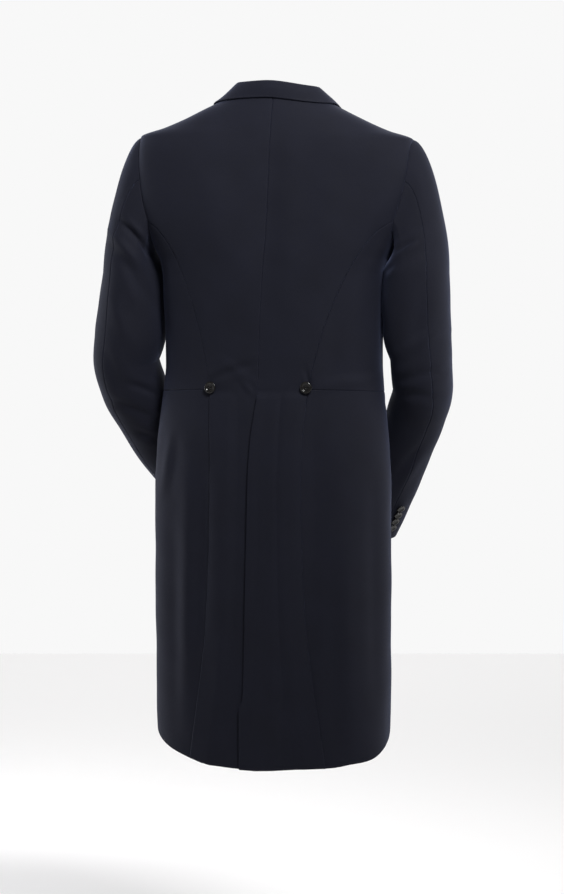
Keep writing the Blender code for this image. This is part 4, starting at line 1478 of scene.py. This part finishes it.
@dataclass
class Collar:
    """Stand and fall in one piece, swept round the neck from gorge to gorge."""

    cut: Triple = (0.51, 0.07, 0.026)
    stations: int = 96
    across: int = 40
    # the fold above the foot, by share of the half: its rise and its lean towards the neck
    fold: tuple = (
        (0.0, 22.5, 2.0), (0.3, 21.0, 5.5), (0.5, 16.0, 9.5), (0.75, 8.5, 4.0), (1.0, 4.0, 1.0),
    )
    edge: tuple = (
        (0, -6), (22, -6.5), (50, -7), (80, -7), (100, -9), (125, -24), (145, -52), (157.3, -83),
    )
    # the left half lies flatter and closer to the neck, so that it runs into the shoulder
    left_fold: tuple = (
        (0.0, 22.5, 2.0), (0.3, 20.5, 8.0), (0.5, 13.5, 14.5), (0.75, 7.5, 6.0), (1.0, 4.0, 1.0),
    )
    left_edge: tuple = (
        (0, -6), (22, -6.5), (50, -8.5), (80, -12), (100, -16), (125, -30), (145, -54), (157.3, -83),
    )
    gorge: tuple = ((-14, 73.5), (-45, 70), (-73.5, 67.5))
    rest: float = 1.1
    bow: float = 1.8
    fold_radius: float = 2.2
    fold_leg: float = 1.3
    # how far the foot clears the neck seam, at the back and what the front adds
    foot_ease: Pair = (1.2, 0.9)
    # the columns at these shares of the width lie on these of the section's even points
    even_points: int = 60
    pinned: tuple[tuple[float, int], ...] = ((0.0, 0), (0.28, 14), (0.52, 32), (1.0, -1))

    def profile(self, side: Side) -> np.ndarray:
        """Sections of one half of the collar's middle layer.

        Args:
            side: The half.

        Returns:
            For each station from the centre back, points from the foot of the stand to the edge of the fall.
        """
        half = np.linspace(0, 1, self.stations + 1)
        foot_back = [(np.radians(angle), height) for angle, height in PATTERN.neckline]
        foot_front = [(float(FORM.angle_at(x, z, True)), z) for z, x in self.gorge]
        foot = PATTERN.resample(foot_back + foot_front, self.stations)
        edge = PATTERN.by_angle(self.left_edge if side is Side.LEFT else self.edge, self.stations)
        fold = np.array(self.left_fold if side is Side.LEFT else self.fold)
        rise = smooth(half, fold[:, 0], fold[:, 1])[:, None]
        lean = smooth(half, fold[:, 0], fold[:, 2])[:, None]
        foot_point, away = FORM.on_form(foot[:, 0] * side.value, foot[:, 1], -WALL / 2)
        edge_point, edge_normal = FORM.on_form(edge[:, 0] * side.value, edge[:, 1], self.rest + WALL / 2)
        forward = fade(half, 0.45, 0.95)[:, None]
        up = unit(np.array([0.0, 0.0, 1.0]) * (1.1 - forward) + away * forward)
        level = unit(away * np.array([1.0, 1.0, 0.0]))
        top = foot_point + up * rise - level * lean
        start = foot_point + up * (WALL / 2 + self.foot_ease[0] + self.foot_ease[1] * forward)
        to_start = unit(start - top)
        to_edge = unit(edge_point - top)
        apex = -unit(to_start + to_edge)
        across = unit(to_edge - apex * np.sum(to_edge * apex, axis=1, keepdims=True))
        radius, leg = self.fold_radius, self.fold_radius * self.fold_leg
        knots = np.stack([
            start,
            (start + top) / 2 - across * radius * 0.5,
            top + to_start * leg - across * radius,
            top + to_start * leg * 0.35 - across * radius * 0.75,
            top,
            top + to_edge * leg * 0.35 + across * radius * 0.75,
            top + to_edge * leg + across * radius,
            (top + edge_point) / 2 + across * radius * 1.2 + edge_normal * forward * self.bow,
            edge_point,
        ], axis=1)
        sections = []
        shares = np.linspace(0, 1, self.across + 1)
        pinned, numbers = zip(*self.pinned)
        for knot_row in knots:
            length = path_length(knot_row)
            even = np.linspace(0, length[-1], self.even_points)
            at = np.interp(shares, pinned, even[list(numbers)])
            sections.append(np.stack([smooth(at, length, knot_row[:, axis]) for axis in range(3)], axis=-1))
        return np.array(sections)

    def piece(self) -> ClothSheet:
        """The collar as one sheet, its outer face turned to the outside of the fall.

        Returns:
            The sheet, ready to build.
        """
        right = self.profile(Side.RIGHT)
        left = self.profile(Side.LEFT)
        middle = np.concatenate([right[::-1], left[1:]])
        for _ in range(2):
            middle[1:-1] = middle[1:-1] * 0.5 + (middle[:-2] + middle[2:]) * 0.25
        along = np.gradient(middle, axis=0)
        across = np.gradient(middle, axis=1)
        normals = unit(np.cross(across, along))
        if np.mean(normals[len(normals) // 2, -6:, 1]) < 0:
            normals = -normals
        lies = fade(np.linspace(0, 1, middle.shape[1]), 0.55, 0.95)[None, :, None]
        points = middle + normals * WALL / 2
        points += (draped(points, normals) - points) * lies
        return ClothSheet(
            name="collar", points=points, normals=normals, cut=self.cut, held="folded",
            rests_on=("back_left", "back_right", "front_left", "front_right"), edges=FREE_EDGES,
        )


@dataclass
class Sleeve:
    """A two-piece sleeve that hangs from its armhole and bends at the elbow."""

    side: Side
    spine: tuple[tuple[float, float, float, float, float], ...]
    cap_cells: int = 40
    arm_cells: int = 116
    hind_seam: int = 24
    fore_seam: int = 96
    cuff_button_column: int = 18
    seam_gap: float = 0.4
    gap_share: float = 0.3
    # how the cap leaves the armhole, at the shoulder and what the underarm adds
    outward: Pair = (1.0, -0.82)
    downward: Pair = (0.16, 0.9)
    pull: Pair = (0.42, 0.35)
    settle: float = 0.95
    # the seam allowance behind the armhole: how far it turns in, and how far the underarm stands off
    tuck: float = 2.5
    tuck_depth: float = 1.6
    under_stand: float = 0.7
    bare_rows: int = 8
    top_cut: Triple = (0.245, 0.72, 0.110)
    under_cut: Triple = (0.24, 0.65, 0.088)

    def rings(self) -> tuple[np.ndarray, np.ndarray]:
        """Rings of the outer face from the armhole to the cuff.

        Returns:
            Their points and outward directions.
        """
        side = self.side.value
        armhole = joined(LINES["armhole_back"], LINES["armhole_side"], LINES["armhole_front"])[:-1]
        turn = np.arange(len(armhole)) * 2 * np.pi / len(armhole)
        start, normal = FORM.on_form(armhole[:, 0] * side, armhole[:, 1])
        under = ((1 - np.cos(turn)) / 2)[:, None]
        out, down = np.array([side, 0.0, 0.0]), np.array([0.0, 0.0, -1.0])
        outward, downward, pull = (
            first + more * under for first, more in (self.outward, self.downward, self.pull)
        )
        leave = unit(out * outward + down * downward)
        start = start + leave * self.seam_gap * self.gap_share + normal * (WALL + self.under_stand) * under
        spine = np.array(self.spine, float)
        centre = spine[:, :3] - FORM.nape()
        length = path_length(centre)
        at = np.linspace(0, length[-1], self.arm_cells + 1)
        path = np.stack([smooth(at, length, centre[:, axis]) for axis in range(3)], axis=-1)
        half_width = smooth(at, length, spine[:, 3])
        half_depth = smooth(at, length, spine[:, 4])
        ahead = unit(np.gradient(path, axis=0))
        across = unit(out - ahead * np.sum(out * ahead, axis=1, keepdims=True))
        behind = np.cross(across, ahead) * side
        arm = (
            path[:, None]
            + across[:, None] * (half_width[:, None] * np.cos(turn))[..., None]
            + behind[:, None] * (half_depth[:, None] * np.sin(turn))[..., None]
        )
        reach = np.linalg.norm(arm[0] - start, axis=1, keepdims=True)
        share = np.linspace(0, 1, self.cap_cells + 1)[:-1, None, None]
        rise_start = 2 * share**3 - 3 * share**2 + 1
        pull = leave * reach * pull
        settle = ahead[0] * reach * self.settle
        bend_start = (share**3 - 2 * share**2 + share) * pull
        bend_end = (share**3 - share**2) * settle
        cap = rise_start * start + bend_start + (1 - rise_start) * arm[0] + bend_end
        inward = (WALL + self.under_stand) * under + WALL + self.tuck_depth
        tucked = start - leave * self.tuck - normal * inward
        grid = np.concatenate([tucked[None], cap, arm])
        around = np.roll(grid, -1, axis=1) - np.roll(grid, 1, axis=1)
        normals = unit(np.cross(around, np.gradient(grid, axis=0)))
        if np.sum(normals * (grid - grid.mean(axis=1, keepdims=True))) < 0:
            normals = -normals
        return grid, normals

    def pieces(self) -> list[ClothSheet]:
        """The topsleeve and the undersleeve, which meet at the hind and the fore seam.

        Returns:
            Both sheets, ready to build.
        """
        grid, normals = self.rings()
        ring = grid.shape[1]
        grid = draped(grid, normals)
        edges = {Rim.TOP: Edge.SEAM, Rim.NEAR: Edge.SEAM, Rim.FAR: Edge.SEAM, Rim.BOTTOM: Edge.TURNED}
        label = self.side.label
        sheets = []
        for name, columns, cut in (
            ("topsleeve", np.arange(self.fore_seam, ring + self.hind_seam + 1) % ring, self.top_cut),
            ("undersleeve", np.arange(self.hind_seam, self.fore_seam + 1), self.under_cut),
        ):
            lined = all_cells(grid[:, columns])
            lined[-self.bare_rows :] = False
            sheets.append(ClothSheet(
                name=f"{name}_{label}", points=grid[:, columns], normals=normals[:, columns], cut=cut,
                held="hung", rests_on=(f"front_{label}", f"back_{label}", f"side_body_{label}"),
                edges=edges, lined=lined,
            ))
        return sheets

    def button_line(self) -> tuple[np.ndarray, np.ndarray]:
        """Points and outward directions of the line that the cuff buttons follow."""
        grid, normals = self.rings()
        return grid[:, self.cuff_button_column], normals[:, self.cuff_button_column]


LEFT_SPINE = (
    (239.5, -3.0, -292.0, 52.5, 66.0),
    (243.5, -6.0, -340.0, 56.5, 64.0),
    (248.0, -10.0, -390.0, 59.5, 62.0),
    (258.0, -18.0, -436.0, 55.0, 60.0),
    (250.5, -38.0, -480.0, 55.5, 57.0),
    (236.0, -68.0, -527.0, 52.0, 54.0),
    (216.0, -102.0, -575.0, 50.0, 52.0),
    (191.0, -137.0, -622.0, 48.0, 49.0),
    (167.0, -170.0, -668.0, 46.0, 47.0),
)
RIGHT_SPINE = (
    (-241.0, -3.0, -292.0, 54.0, 66.0),
    (-240.0, -6.0, -340.0, 56.5, 64.0),
    (-240.3, -10.0, -390.0, 56.5, 62.0),
    (-246.0, -16.0, -434.0, 51.0, 60.0),
    (-246.0, -32.0, -478.0, 50.0, 57.0),
    (-231.0, -56.0, -522.0, 49.5, 52.0),
    (-209.0, -80.0, -572.0, 48.0, 49.0),
    (-187.0, -101.0, -622.0, 46.5, 47.0),
    (-163.0, -117.0, -670.0, 45.0, 46.0),
    (-141.0, -130.0, -714.0, 44.0, 45.0),
)


@dataclass(frozen=True)
class ButtonPlace:
    """Where a button stands: its back's middle, the way it faces and its own X direction."""

    name: str
    point: np.ndarray
    normal: np.ndarray
    along: np.ndarray
    radius: float
    thickness: float
    tilt: float = 0.0

    def matrix(self) -> Matrix:
        """The placing of a button that is modelled standing on the XY plane.

        Returns:
            The matrix from the button's own axes to the coat's, in metres.
        """
        z_axis = Vector(self.normal).normalized()
        x_axis = Vector(self.along)
        x_axis = (x_axis - z_axis * x_axis.dot(z_axis)).normalized()
        y_axis = z_axis.cross(x_axis)
        place = Matrix((x_axis, y_axis, z_axis)).transposed().to_4x4()
        place.translation = Vector(self.point) * MM
        return place @ Matrix.Rotation(np.radians(self.tilt), 4, "Y")


@dataclass
class StitchTree:
    """Geometry Nodes that lay one stitch after another along a path, square to its cloth."""

    name: str = "stitches_along_path"
    tree: NodeTree | None = None
    sockets: dict[str, str] = field(default_factory=dict)

    def build(self) -> None:
        """Makes the tree with its named inputs."""
        tree = bpy.data.node_groups.new(self.name, "GeometryNodeTree")
        kinds = {
            "Path": "NodeSocketGeometry", "Spacing": "NodeSocketFloat", "Size": "NodeSocketVector",
            "Thread": "NodeSocketMaterial",
        }
        for label, kind in kinds.items():
            socket = tree.interface.new_socket(label, in_out="INPUT", socket_type=kind)
            self.sockets[label] = socket.identifier
        tree.interface.new_socket("Stitches", in_out="OUTPUT", socket_type="NodeSocketGeometry")
        given = add_node(tree, "NodeGroupInput").outputs
        curve = add_node(tree, "GeometryNodeMeshToCurve", {}, {"Mesh": given["Path"]}).outputs["Curve"]
        spread = add_node(
            tree, "GeometryNodeResampleCurve", {"mode": "LENGTH"},
            {"Curve": curve, "Length": given["Spacing"]},
        ).outputs["Curve"]
        facing = add_node(
            tree, "GeometryNodeInputNamedAttribute", {"data_type": "FLOAT_VECTOR"}, {"Name": "facing"}
        ).outputs["Attribute"]
        tangent = add_node(tree, "GeometryNodeInputTangent").outputs["Tangent"]
        upright = add_node(
            tree, "FunctionNodeAlignRotationToVector", {"axis": "Z"}, {"Vector": facing}
        ).outputs["Rotation"]
        turned = add_node(
            tree, "FunctionNodeAlignRotationToVector", {"axis": "X", "pivot_axis": "Z"},
            {"Rotation": upright, "Vector": tangent},
        ).outputs["Rotation"]
        bead = add_node(
            tree, "GeometryNodeMeshIcoSphere", {}, {"Radius": 0.5, "Subdivisions": 2}
        ).outputs["Mesh"]
        stitch = add_node(
            tree, "GeometryNodeTransform", {}, {"Geometry": bead, "Scale": given["Size"]}
        ).outputs["Geometry"]
        soft = add_node(tree, "GeometryNodeSetShadeSmooth", {}, {"Geometry": stitch}).outputs["Geometry"]
        laid = add_node(
            tree, "GeometryNodeInstanceOnPoints", {},
            {"Points": spread, "Instance": soft, "Rotation": turned},
        ).outputs["Instances"]
        real = add_node(tree, "GeometryNodeRealizeInstances", {}, {"Geometry": laid}).outputs["Geometry"]
        sewn = add_node(
            tree, "GeometryNodeSetMaterial", {}, {"Geometry": real, "Material": given["Thread"]}
        ).outputs["Geometry"]
        add_node(tree, "NodeGroupOutput", {}, {"Stitches": sewn})
        self.tree = tree

    def sew(
        self, name: str, paths: list[tuple[np.ndarray, np.ndarray]], spacing: float,
        size: Triple, thread: Material,
    ) -> Object:
        """Sews along paths and leaves a plain mesh.

        Args:
            name: Name of the finished piece.
            paths: Points and outward directions of each path, in millimetres.
            spacing: Distance from stitch to stitch.
            size: A stitch's length along the path, across it and off the cloth.
            thread: The thread's material.

        Returns:
            The stitches as one object at the origin.
        """
        points, facing, edges = [], [], []
        for path, faced in paths:
            base = len(points)
            points += [tuple(point * MM) for point in path]
            facing.append(faced)
            edges += [(base + step, base + step + 1) for step in range(len(path) - 1)]
        mesh = bpy.data.meshes.new(name + "_path")
        mesh.from_pydata(points, edges, [])
        layer = mesh.attributes.new("facing", "FLOAT_VECTOR", "POINT")
        layer.data.foreach_set("vector", np.concatenate(facing).astype(np.float32).ravel())
        guide = linked(name + "_path", mesh)
        sewing = guide.modifiers.new("stitches", "NODES")
        sewing.node_group = self.tree
        sewing[self.sockets["Spacing"]] = spacing * MM
        sewing[self.sockets["Size"]] = [value * MM for value in size]
        sewing[self.sockets["Thread"]] = thread
        depsgraph = bpy.context.evaluated_depsgraph_get()
        plain = bpy.data.meshes.new_from_object(guide.evaluated_get(depsgraph))
        plain.name = name
        bpy.data.objects.remove(guide)
        obj = linked(name, plain)
        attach(obj, "root")
        LOG.info("%s: %d faces", name, len(plain.polygons))
        return obj


@dataclass
class Buttons:
    """All the coat's buttons: turned horn with a raised rim, sewn on through four holes."""

    sleeves: dict[Side, Sleeve]
    waist_radius: float = 10.0
    front_radius: float = 11.0
    cuff_radius: float = 7.5
    waist_thickness: float = 4.2
    front_thickness: float = 4.6
    cuff_thickness: float = 2.9
    cuff_inset: float = 24.0
    cuff_step: float = 12.5
    cuff_tilt: float = 17.0
    cuff_count: int = 4
    rest: float = 0.35
    back: float = 0.86
    steps: int = 64
    hole_reach: float = 0.2
    hole_radius: float = 0.085
    hole_sides: int = 12
    # where the waist buttons sit: above the waist, inside the pleat line and off the form
    waist_rise: float = 3.0
    waist_inset: float = 2.0
    waist_stand: float = 1.3
    thread_height: float = 0.55
    thread_points: int = 9
    thread_step: float = 0.45
    thread_size: Triple = (0.8, 0.75, 0.6)
    front_height: float = -447.0
    profile: tuple[Pair, ...] = (
        (0.0, 0.52), (0.30, 0.52), (0.48, 0.54), (0.58, 0.66), (0.66, 0.88), (0.73, 0.98), (0.80, 1.0),
        (0.88, 0.97), (0.95, 0.84), (0.99, 0.66), (1.0, 0.5), (0.97, 0.28), (0.90, 0.08), (0.84, 0.0),
        (0.0, 0.0),
    )

    def places(self) -> list[ButtonPlace]:
        """Every button of the coat.

        Returns:
            Their places: waist, front, then the cuffs from the hem up.
        """
        found = []
        for side in Side:
            height = WAIST + self.waist_rise
            angle = float(FORM.angle_at(PATTERN.pleat[0][1] - self.waist_inset, height)) * side.value
            point, normal = FORM.on_form(angle, height, self.rest + self.waist_stand)
            point = self.on_cloth(point, normal)
            found.append(ButtonPlace(
                f"waist_button_{side.label}", point, normal, np.array([1.0, 0, 0]),
                self.waist_radius, self.waist_thickness,
            ))
        point, normal = FORM.on_form(np.pi, self.front_height, LAP_LIFT + LAPEL_LIFT + self.rest)
        found.append(ButtonPlace(
            "front_button", self.on_cloth(point, normal), normal, np.array([1.0, 0, 0]),
            self.front_radius, self.front_thickness,
        ))
        for side, sleeve in self.sleeves.items():
            line, faced = sleeve.button_line()
            length = path_length(line)
            for number in range(self.cuff_count):
                at = length[-1] - self.cuff_inset - number * self.cuff_step
                point = np.array([np.interp(at, length, line[:, axis]) for axis in range(3)])
                normal = unit(np.array([np.interp(at, length, faced[:, axis]) for axis in range(3)]))
                lift = self.rest + np.sin(np.radians(self.cuff_tilt)) * self.cuff_radius * self.back
                point = self.on_cloth(point, normal) + normal * lift
                found.append(ButtonPlace(
                    f"cuff_button_{side.label}_{number + 1}", point, normal, unit(line[-1] - line[-12]),
                    self.cuff_radius, self.cuff_thickness, self.cuff_tilt,
                ))
        return found

    def on_cloth(self, point: np.ndarray, normal: np.ndarray) -> np.ndarray:
        """The point moved with the folds of the cloth under it."""
        return point + normal * float(DRAPE.height(point[None], normal[None])[0])

    def turned(self, place: ButtonPlace, horn: Material) -> Object:
        """A button turned from its profile, with four holes drilled in its dish.

        Args:
            place: Where it stands and its size.
            horn: Its material.

        Returns:
            The button as one object at the origin.
        """
        name = place.name + "_horn"
        mesh = bpy.data.meshes.new(name)
        points = [
            (share * place.radius * MM, 0.0, height * place.thickness * MM) for share, height in self.profile
        ]
        mesh.from_pydata(points, [(step, step + 1) for step in range(len(points) - 1)], [])
        obj = linked(name, mesh)
        turned = obj.modifiers.new("turned", "SCREW")
        turned.steps = turned.render_steps = self.steps
        turned.use_merge_vertices = True
        turned.merge_threshold = 0.00001
        drills = self.drills(place)
        drilled = obj.modifiers.new("drilled", "BOOLEAN")
        drilled.operation = "DIFFERENCE"
        drilled.object = drills
        depsgraph = bpy.context.evaluated_depsgraph_get()
        plain = bpy.data.meshes.new_from_object(obj.evaluated_get(depsgraph))
        plain.name = name
        bpy.data.objects.remove(drills)
        bpy.data.objects.remove(obj)
        plain.transform(place.matrix())
        plain.materials.clear()
        plain.materials.append(horn)
        plain.shade_smooth()
        plain.set_sharp_from_angle(angle=np.radians(50))
        button = linked(name, plain)
        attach(button, "root")
        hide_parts(place.name)
        return button

    def drills(self, place: ButtonPlace) -> Object:
        """Four round cutters as one mesh, right through the button.

        Args:
            place: The button's size.

        Returns:
            The cutters, in the button's own axes.
        """
        sides = self.hole_sides
        reach = place.radius * self.hole_reach
        radius = place.radius * self.hole_radius
        points, faces = [], []
        for x, y in ((1, 1), (-1, 1), (-1, -1), (1, -1)):
            base = len(points)
            for level in (-1.0, place.thickness + 1.0):
                for step in range(sides):
                    angle = 2 * np.pi * step / sides
                    points.append((
                        (x * reach + radius * np.cos(angle)) * MM, (y * reach + radius * np.sin(angle)) * MM,
                        level * MM,
                    ))
            faces.append([base + step for step in range(sides)][::-1])
            faces.append([base + sides + step for step in range(sides)])
            for step in range(sides):
                after = (step + 1) % sides
                faces.append([base + step, base + after, base + sides + after, base + sides + step])
        mesh = bpy.data.meshes.new("drills")
        mesh.from_pydata(points, [], faces)
        return linked("drills", mesh)

    def thread_paths(self, place: ButtonPlace) -> list[tuple[np.ndarray, np.ndarray]]:
        """The two bars of thread that cross the dish from hole to hole.

        Args:
            place: The button's place and size.

        Returns:
            Points and outward directions of each bar.
        """
        matrix = np.array(place.matrix())
        reach = place.radius * self.hole_reach
        paths = []
        along = np.linspace(-reach, reach, self.thread_points)
        for y in (-reach, reach):
            local = np.array([(x, y, place.thickness * self.thread_height) for x in along])
            points = local @ matrix[:3, :3].T + matrix[:3, 3] / MM
            paths.append((points, np.tile(matrix[:3, 2], (self.thread_points, 1))))
        return paths

    def dress(self, horn: Material, thread: Material, stitches: StitchTree) -> None:
        """Turns every button and sews it on.

        Args:
            horn: Material of the buttons.
            thread: Material of the thread.
            stitches: The tree that lays the thread.
        """
        paths = []
        for place in self.places():
            self.turned(place, horn)
            paths += self.thread_paths(place)
        stitches.sew("button_threads", paths, self.thread_step, self.thread_size, thread)
        LOG.info("buttons: %d", len(paths) // 2)


@dataclass(frozen=True)
class SoftBox:
    """A rectangular studio light: where it stands, what it faces, its size and its beam."""

    name: str
    place: Triple
    aim: Triple
    size: Pair
    watts: float
    tint: str
    spread: float = 180.0

    def build(self) -> None:
        """Sets the light up."""
        data = bpy.data.lights.new(self.name, "AREA")
        data.shape = "RECTANGLE"
        data.size, data.size_y = self.size
        data.energy = self.watts
        data.spread = np.radians(self.spread)
        data.color = srgb(self.tint)[:3]
        obj = linked(self.name, data)
        obj.location = self.place
        obj.rotation_euler = (Vector(self.aim) - Vector(self.place)).to_track_quat("-Z", "Y").to_euler()


@dataclass
class Studio:
    """Pale floor, soft light from all sides and the camera of the picture."""

    target: Triple = (-0.00145, -0.0585, -0.5798)
    eye: Triple = (-1.2387, 5.3005, -0.450)
    half_height: float = 0.742
    sensor: float = 36.0
    floor_height: float = -1.5
    far_edge: float = 12.2
    half_floor: float = 9.0
    near_floor: float = 3.0
    wall: str = "#f8f8f8"
    # the surroundings behind the camera, as a share of the bright side behind the coat
    dim: float = 0.22
    dim_until: float = -0.2
    bright_from: float = 0.6
    boxes: tuple[SoftBox, ...] = (
        SoftBox("high_box", (-1.6, 2.3, 2.3), (0, 0, 0.3), (1.0, 0.8), 18.5, "#ffffff", 49.0),
        SoftBox("left_box", (3.2, -0.8, -0.35), (0, 0, -0.75), (1.2, 2.0), 43.0, "#f7f8ff"),
        SoftBox("right_box", (-3.2, -1.0, -0.35), (0, 0, -0.75), (1.2, 2.0), 32.0, "#fffdf8"),
        SoftBox("floor_box", (1.2, -7.0, 3.4), (1.2, -7.0, -1.5), (9.0, 6.0), 190.0, "#ffffff"),
    )

    def camera(self) -> None:
        """The camera, level with the middle of the coat and a little to its right."""
        data = bpy.data.cameras.new("camera")
        data.sensor_fit = "AUTO"
        data.sensor_width = self.sensor
        reach = Vector(self.target) - Vector(self.eye)
        data.lens = self.sensor / 2 / (self.half_height / reach.length)
        data.clip_end = 60
        obj = linked("camera", data)
        obj.location = self.eye
        obj.rotation_euler = reach.to_track_quat("-Z", "Y").to_euler()
        bpy.context.scene.camera = obj

    def surroundings(self, toward: Vector) -> None:
        """Light from all sides, dimmer from behind the camera.

        Args:
            toward: The way that the camera looks.
        """
        world = bpy.data.worlds.new("pale_studio")
        bpy.context.scene.world = world
        world.use_nodes = True
        tree = world.node_tree
        surround = tree.nodes["Background"]
        place = add_node(tree, "ShaderNodeTexCoord").outputs["Generated"]
        ahead = add_node(
            tree, "ShaderNodeVectorMath", {"operation": "DOT_PRODUCT"}, {0: place, 1: tuple(toward)}
        ).outputs["Value"]
        share = mapped(tree, ahead, (self.dim_until, self.bright_from), (self.dim, 1.0))
        feed(tree, surround, {"Color": srgb(self.wall), "Strength": share})

    def floor(self, toward: Vector) -> None:
        """The floor, from behind the camera to the line where it meets the bright side.

        Args:
            toward: The way that the camera looks.
        """
        mesh = bpy.data.meshes.new("floor")
        away = Vector((toward.x, toward.y, 0.0)).normalized()
        beside = Vector((-away.y, away.x, 0.0))
        under = Vector((self.eye[0], self.eye[1], self.floor_height))
        corners = [
            under + away * reach + beside * across
            for reach, across in (
                (self.far_edge, -self.half_floor), (self.far_edge, self.half_floor),
                (-self.near_floor, self.half_floor), (-self.near_floor, -self.half_floor),
            )
        ]
        mesh.from_pydata(corners, [], [(0, 1, 2, 3)])
        mesh.materials.append(StudioPaint().build())
        linked("floor", mesh)

    def build(self) -> None:
        """Makes surroundings, floor, lights and camera."""
        bpy.context.scene.view_settings.view_transform = "Standard"
        toward = (Vector(self.target) - Vector(self.eye)).normalized()
        self.surroundings(toward)
        self.floor(toward)
        for box in self.boxes:
            box.build()
        self.camera()


@dataclass
class Sewing:
    """The fine stitches that show along the picked edges of lapels, collar and skirts."""

    inset: float = 2.4
    stand: float = 0.03
    step: float = 5.5
    stitch: Triple = (1.5, 0.42, 0.3)

    def edge_path(self, sheet: ClothSheet, rim: Rim) -> tuple[np.ndarray, np.ndarray]:
        """A line on the outer face beside the top or the far edge of a sheet.

        Args:
            sheet: The sheet.
            rim: Which of its edges.

        Returns:
            Points and outward directions of the line.
        """
        points, normals = sheet.points, sheet.normals
        if rim is Rim.FAR:
            points, normals = points[:, ::-1], normals[:, ::-1]
        elif rim is Rim.TOP:
            points, normals = points.swapaxes(0, 1), normals.swapaxes(0, 1)
        line, inner = points[:, 0], points[:, 2]
        path = line + unit(inner - line) * self.inset
        return path[2:-2] + normals[2:-2, 1] * self.stand, normals[2:-2, 1]


def main() -> None:
    """Builds the coat piece by piece, dresses it and reports each piece."""
    logging.basicConfig(level=logging.INFO, format="%(message)s")
    cloth, lining = Worsted().build(), Satin().build()
    horn, thread = Horn().build(), SilkThread().build()
    stitches = StitchTree()
    stitches.build()
    sheets = []
    for side in Side:
        sheets += [kind(side).piece() for kind in (Back, SideBody, Front, Skirt, Lapel)]
    sleeves = {Side.LEFT: Sleeve(Side.LEFT, LEFT_SPINE), Side.RIGHT: Sleeve(Side.RIGHT, RIGHT_SPINE)}
    for sleeve in sleeves.values():
        sheets += sleeve.pieces()
    sheets.append(Collar().piece())
    for sheet in sheets:
        sheet.build(cloth, lining)
    Buttons(sleeves).dress(horn, thread, stitches)
    sewing = Sewing()
    named = {sheet.name: sheet for sheet in sheets}
    picked = [sewing.edge_path(named[name], rim) for name, rim in (
        ("lapel_left", Rim.FAR), ("lapel_right", Rim.FAR), ("lapel_left", Rim.TOP),
        ("lapel_right", Rim.TOP), ("collar", Rim.FAR), ("skirt_left", Rim.FAR), ("skirt_right", Rim.FAR),
    )]
    stitches.sew("picked_edges", picked, sewing.step, sewing.stitch, thread)
    Studio().build()


if __name__ == "__main__":
    main()
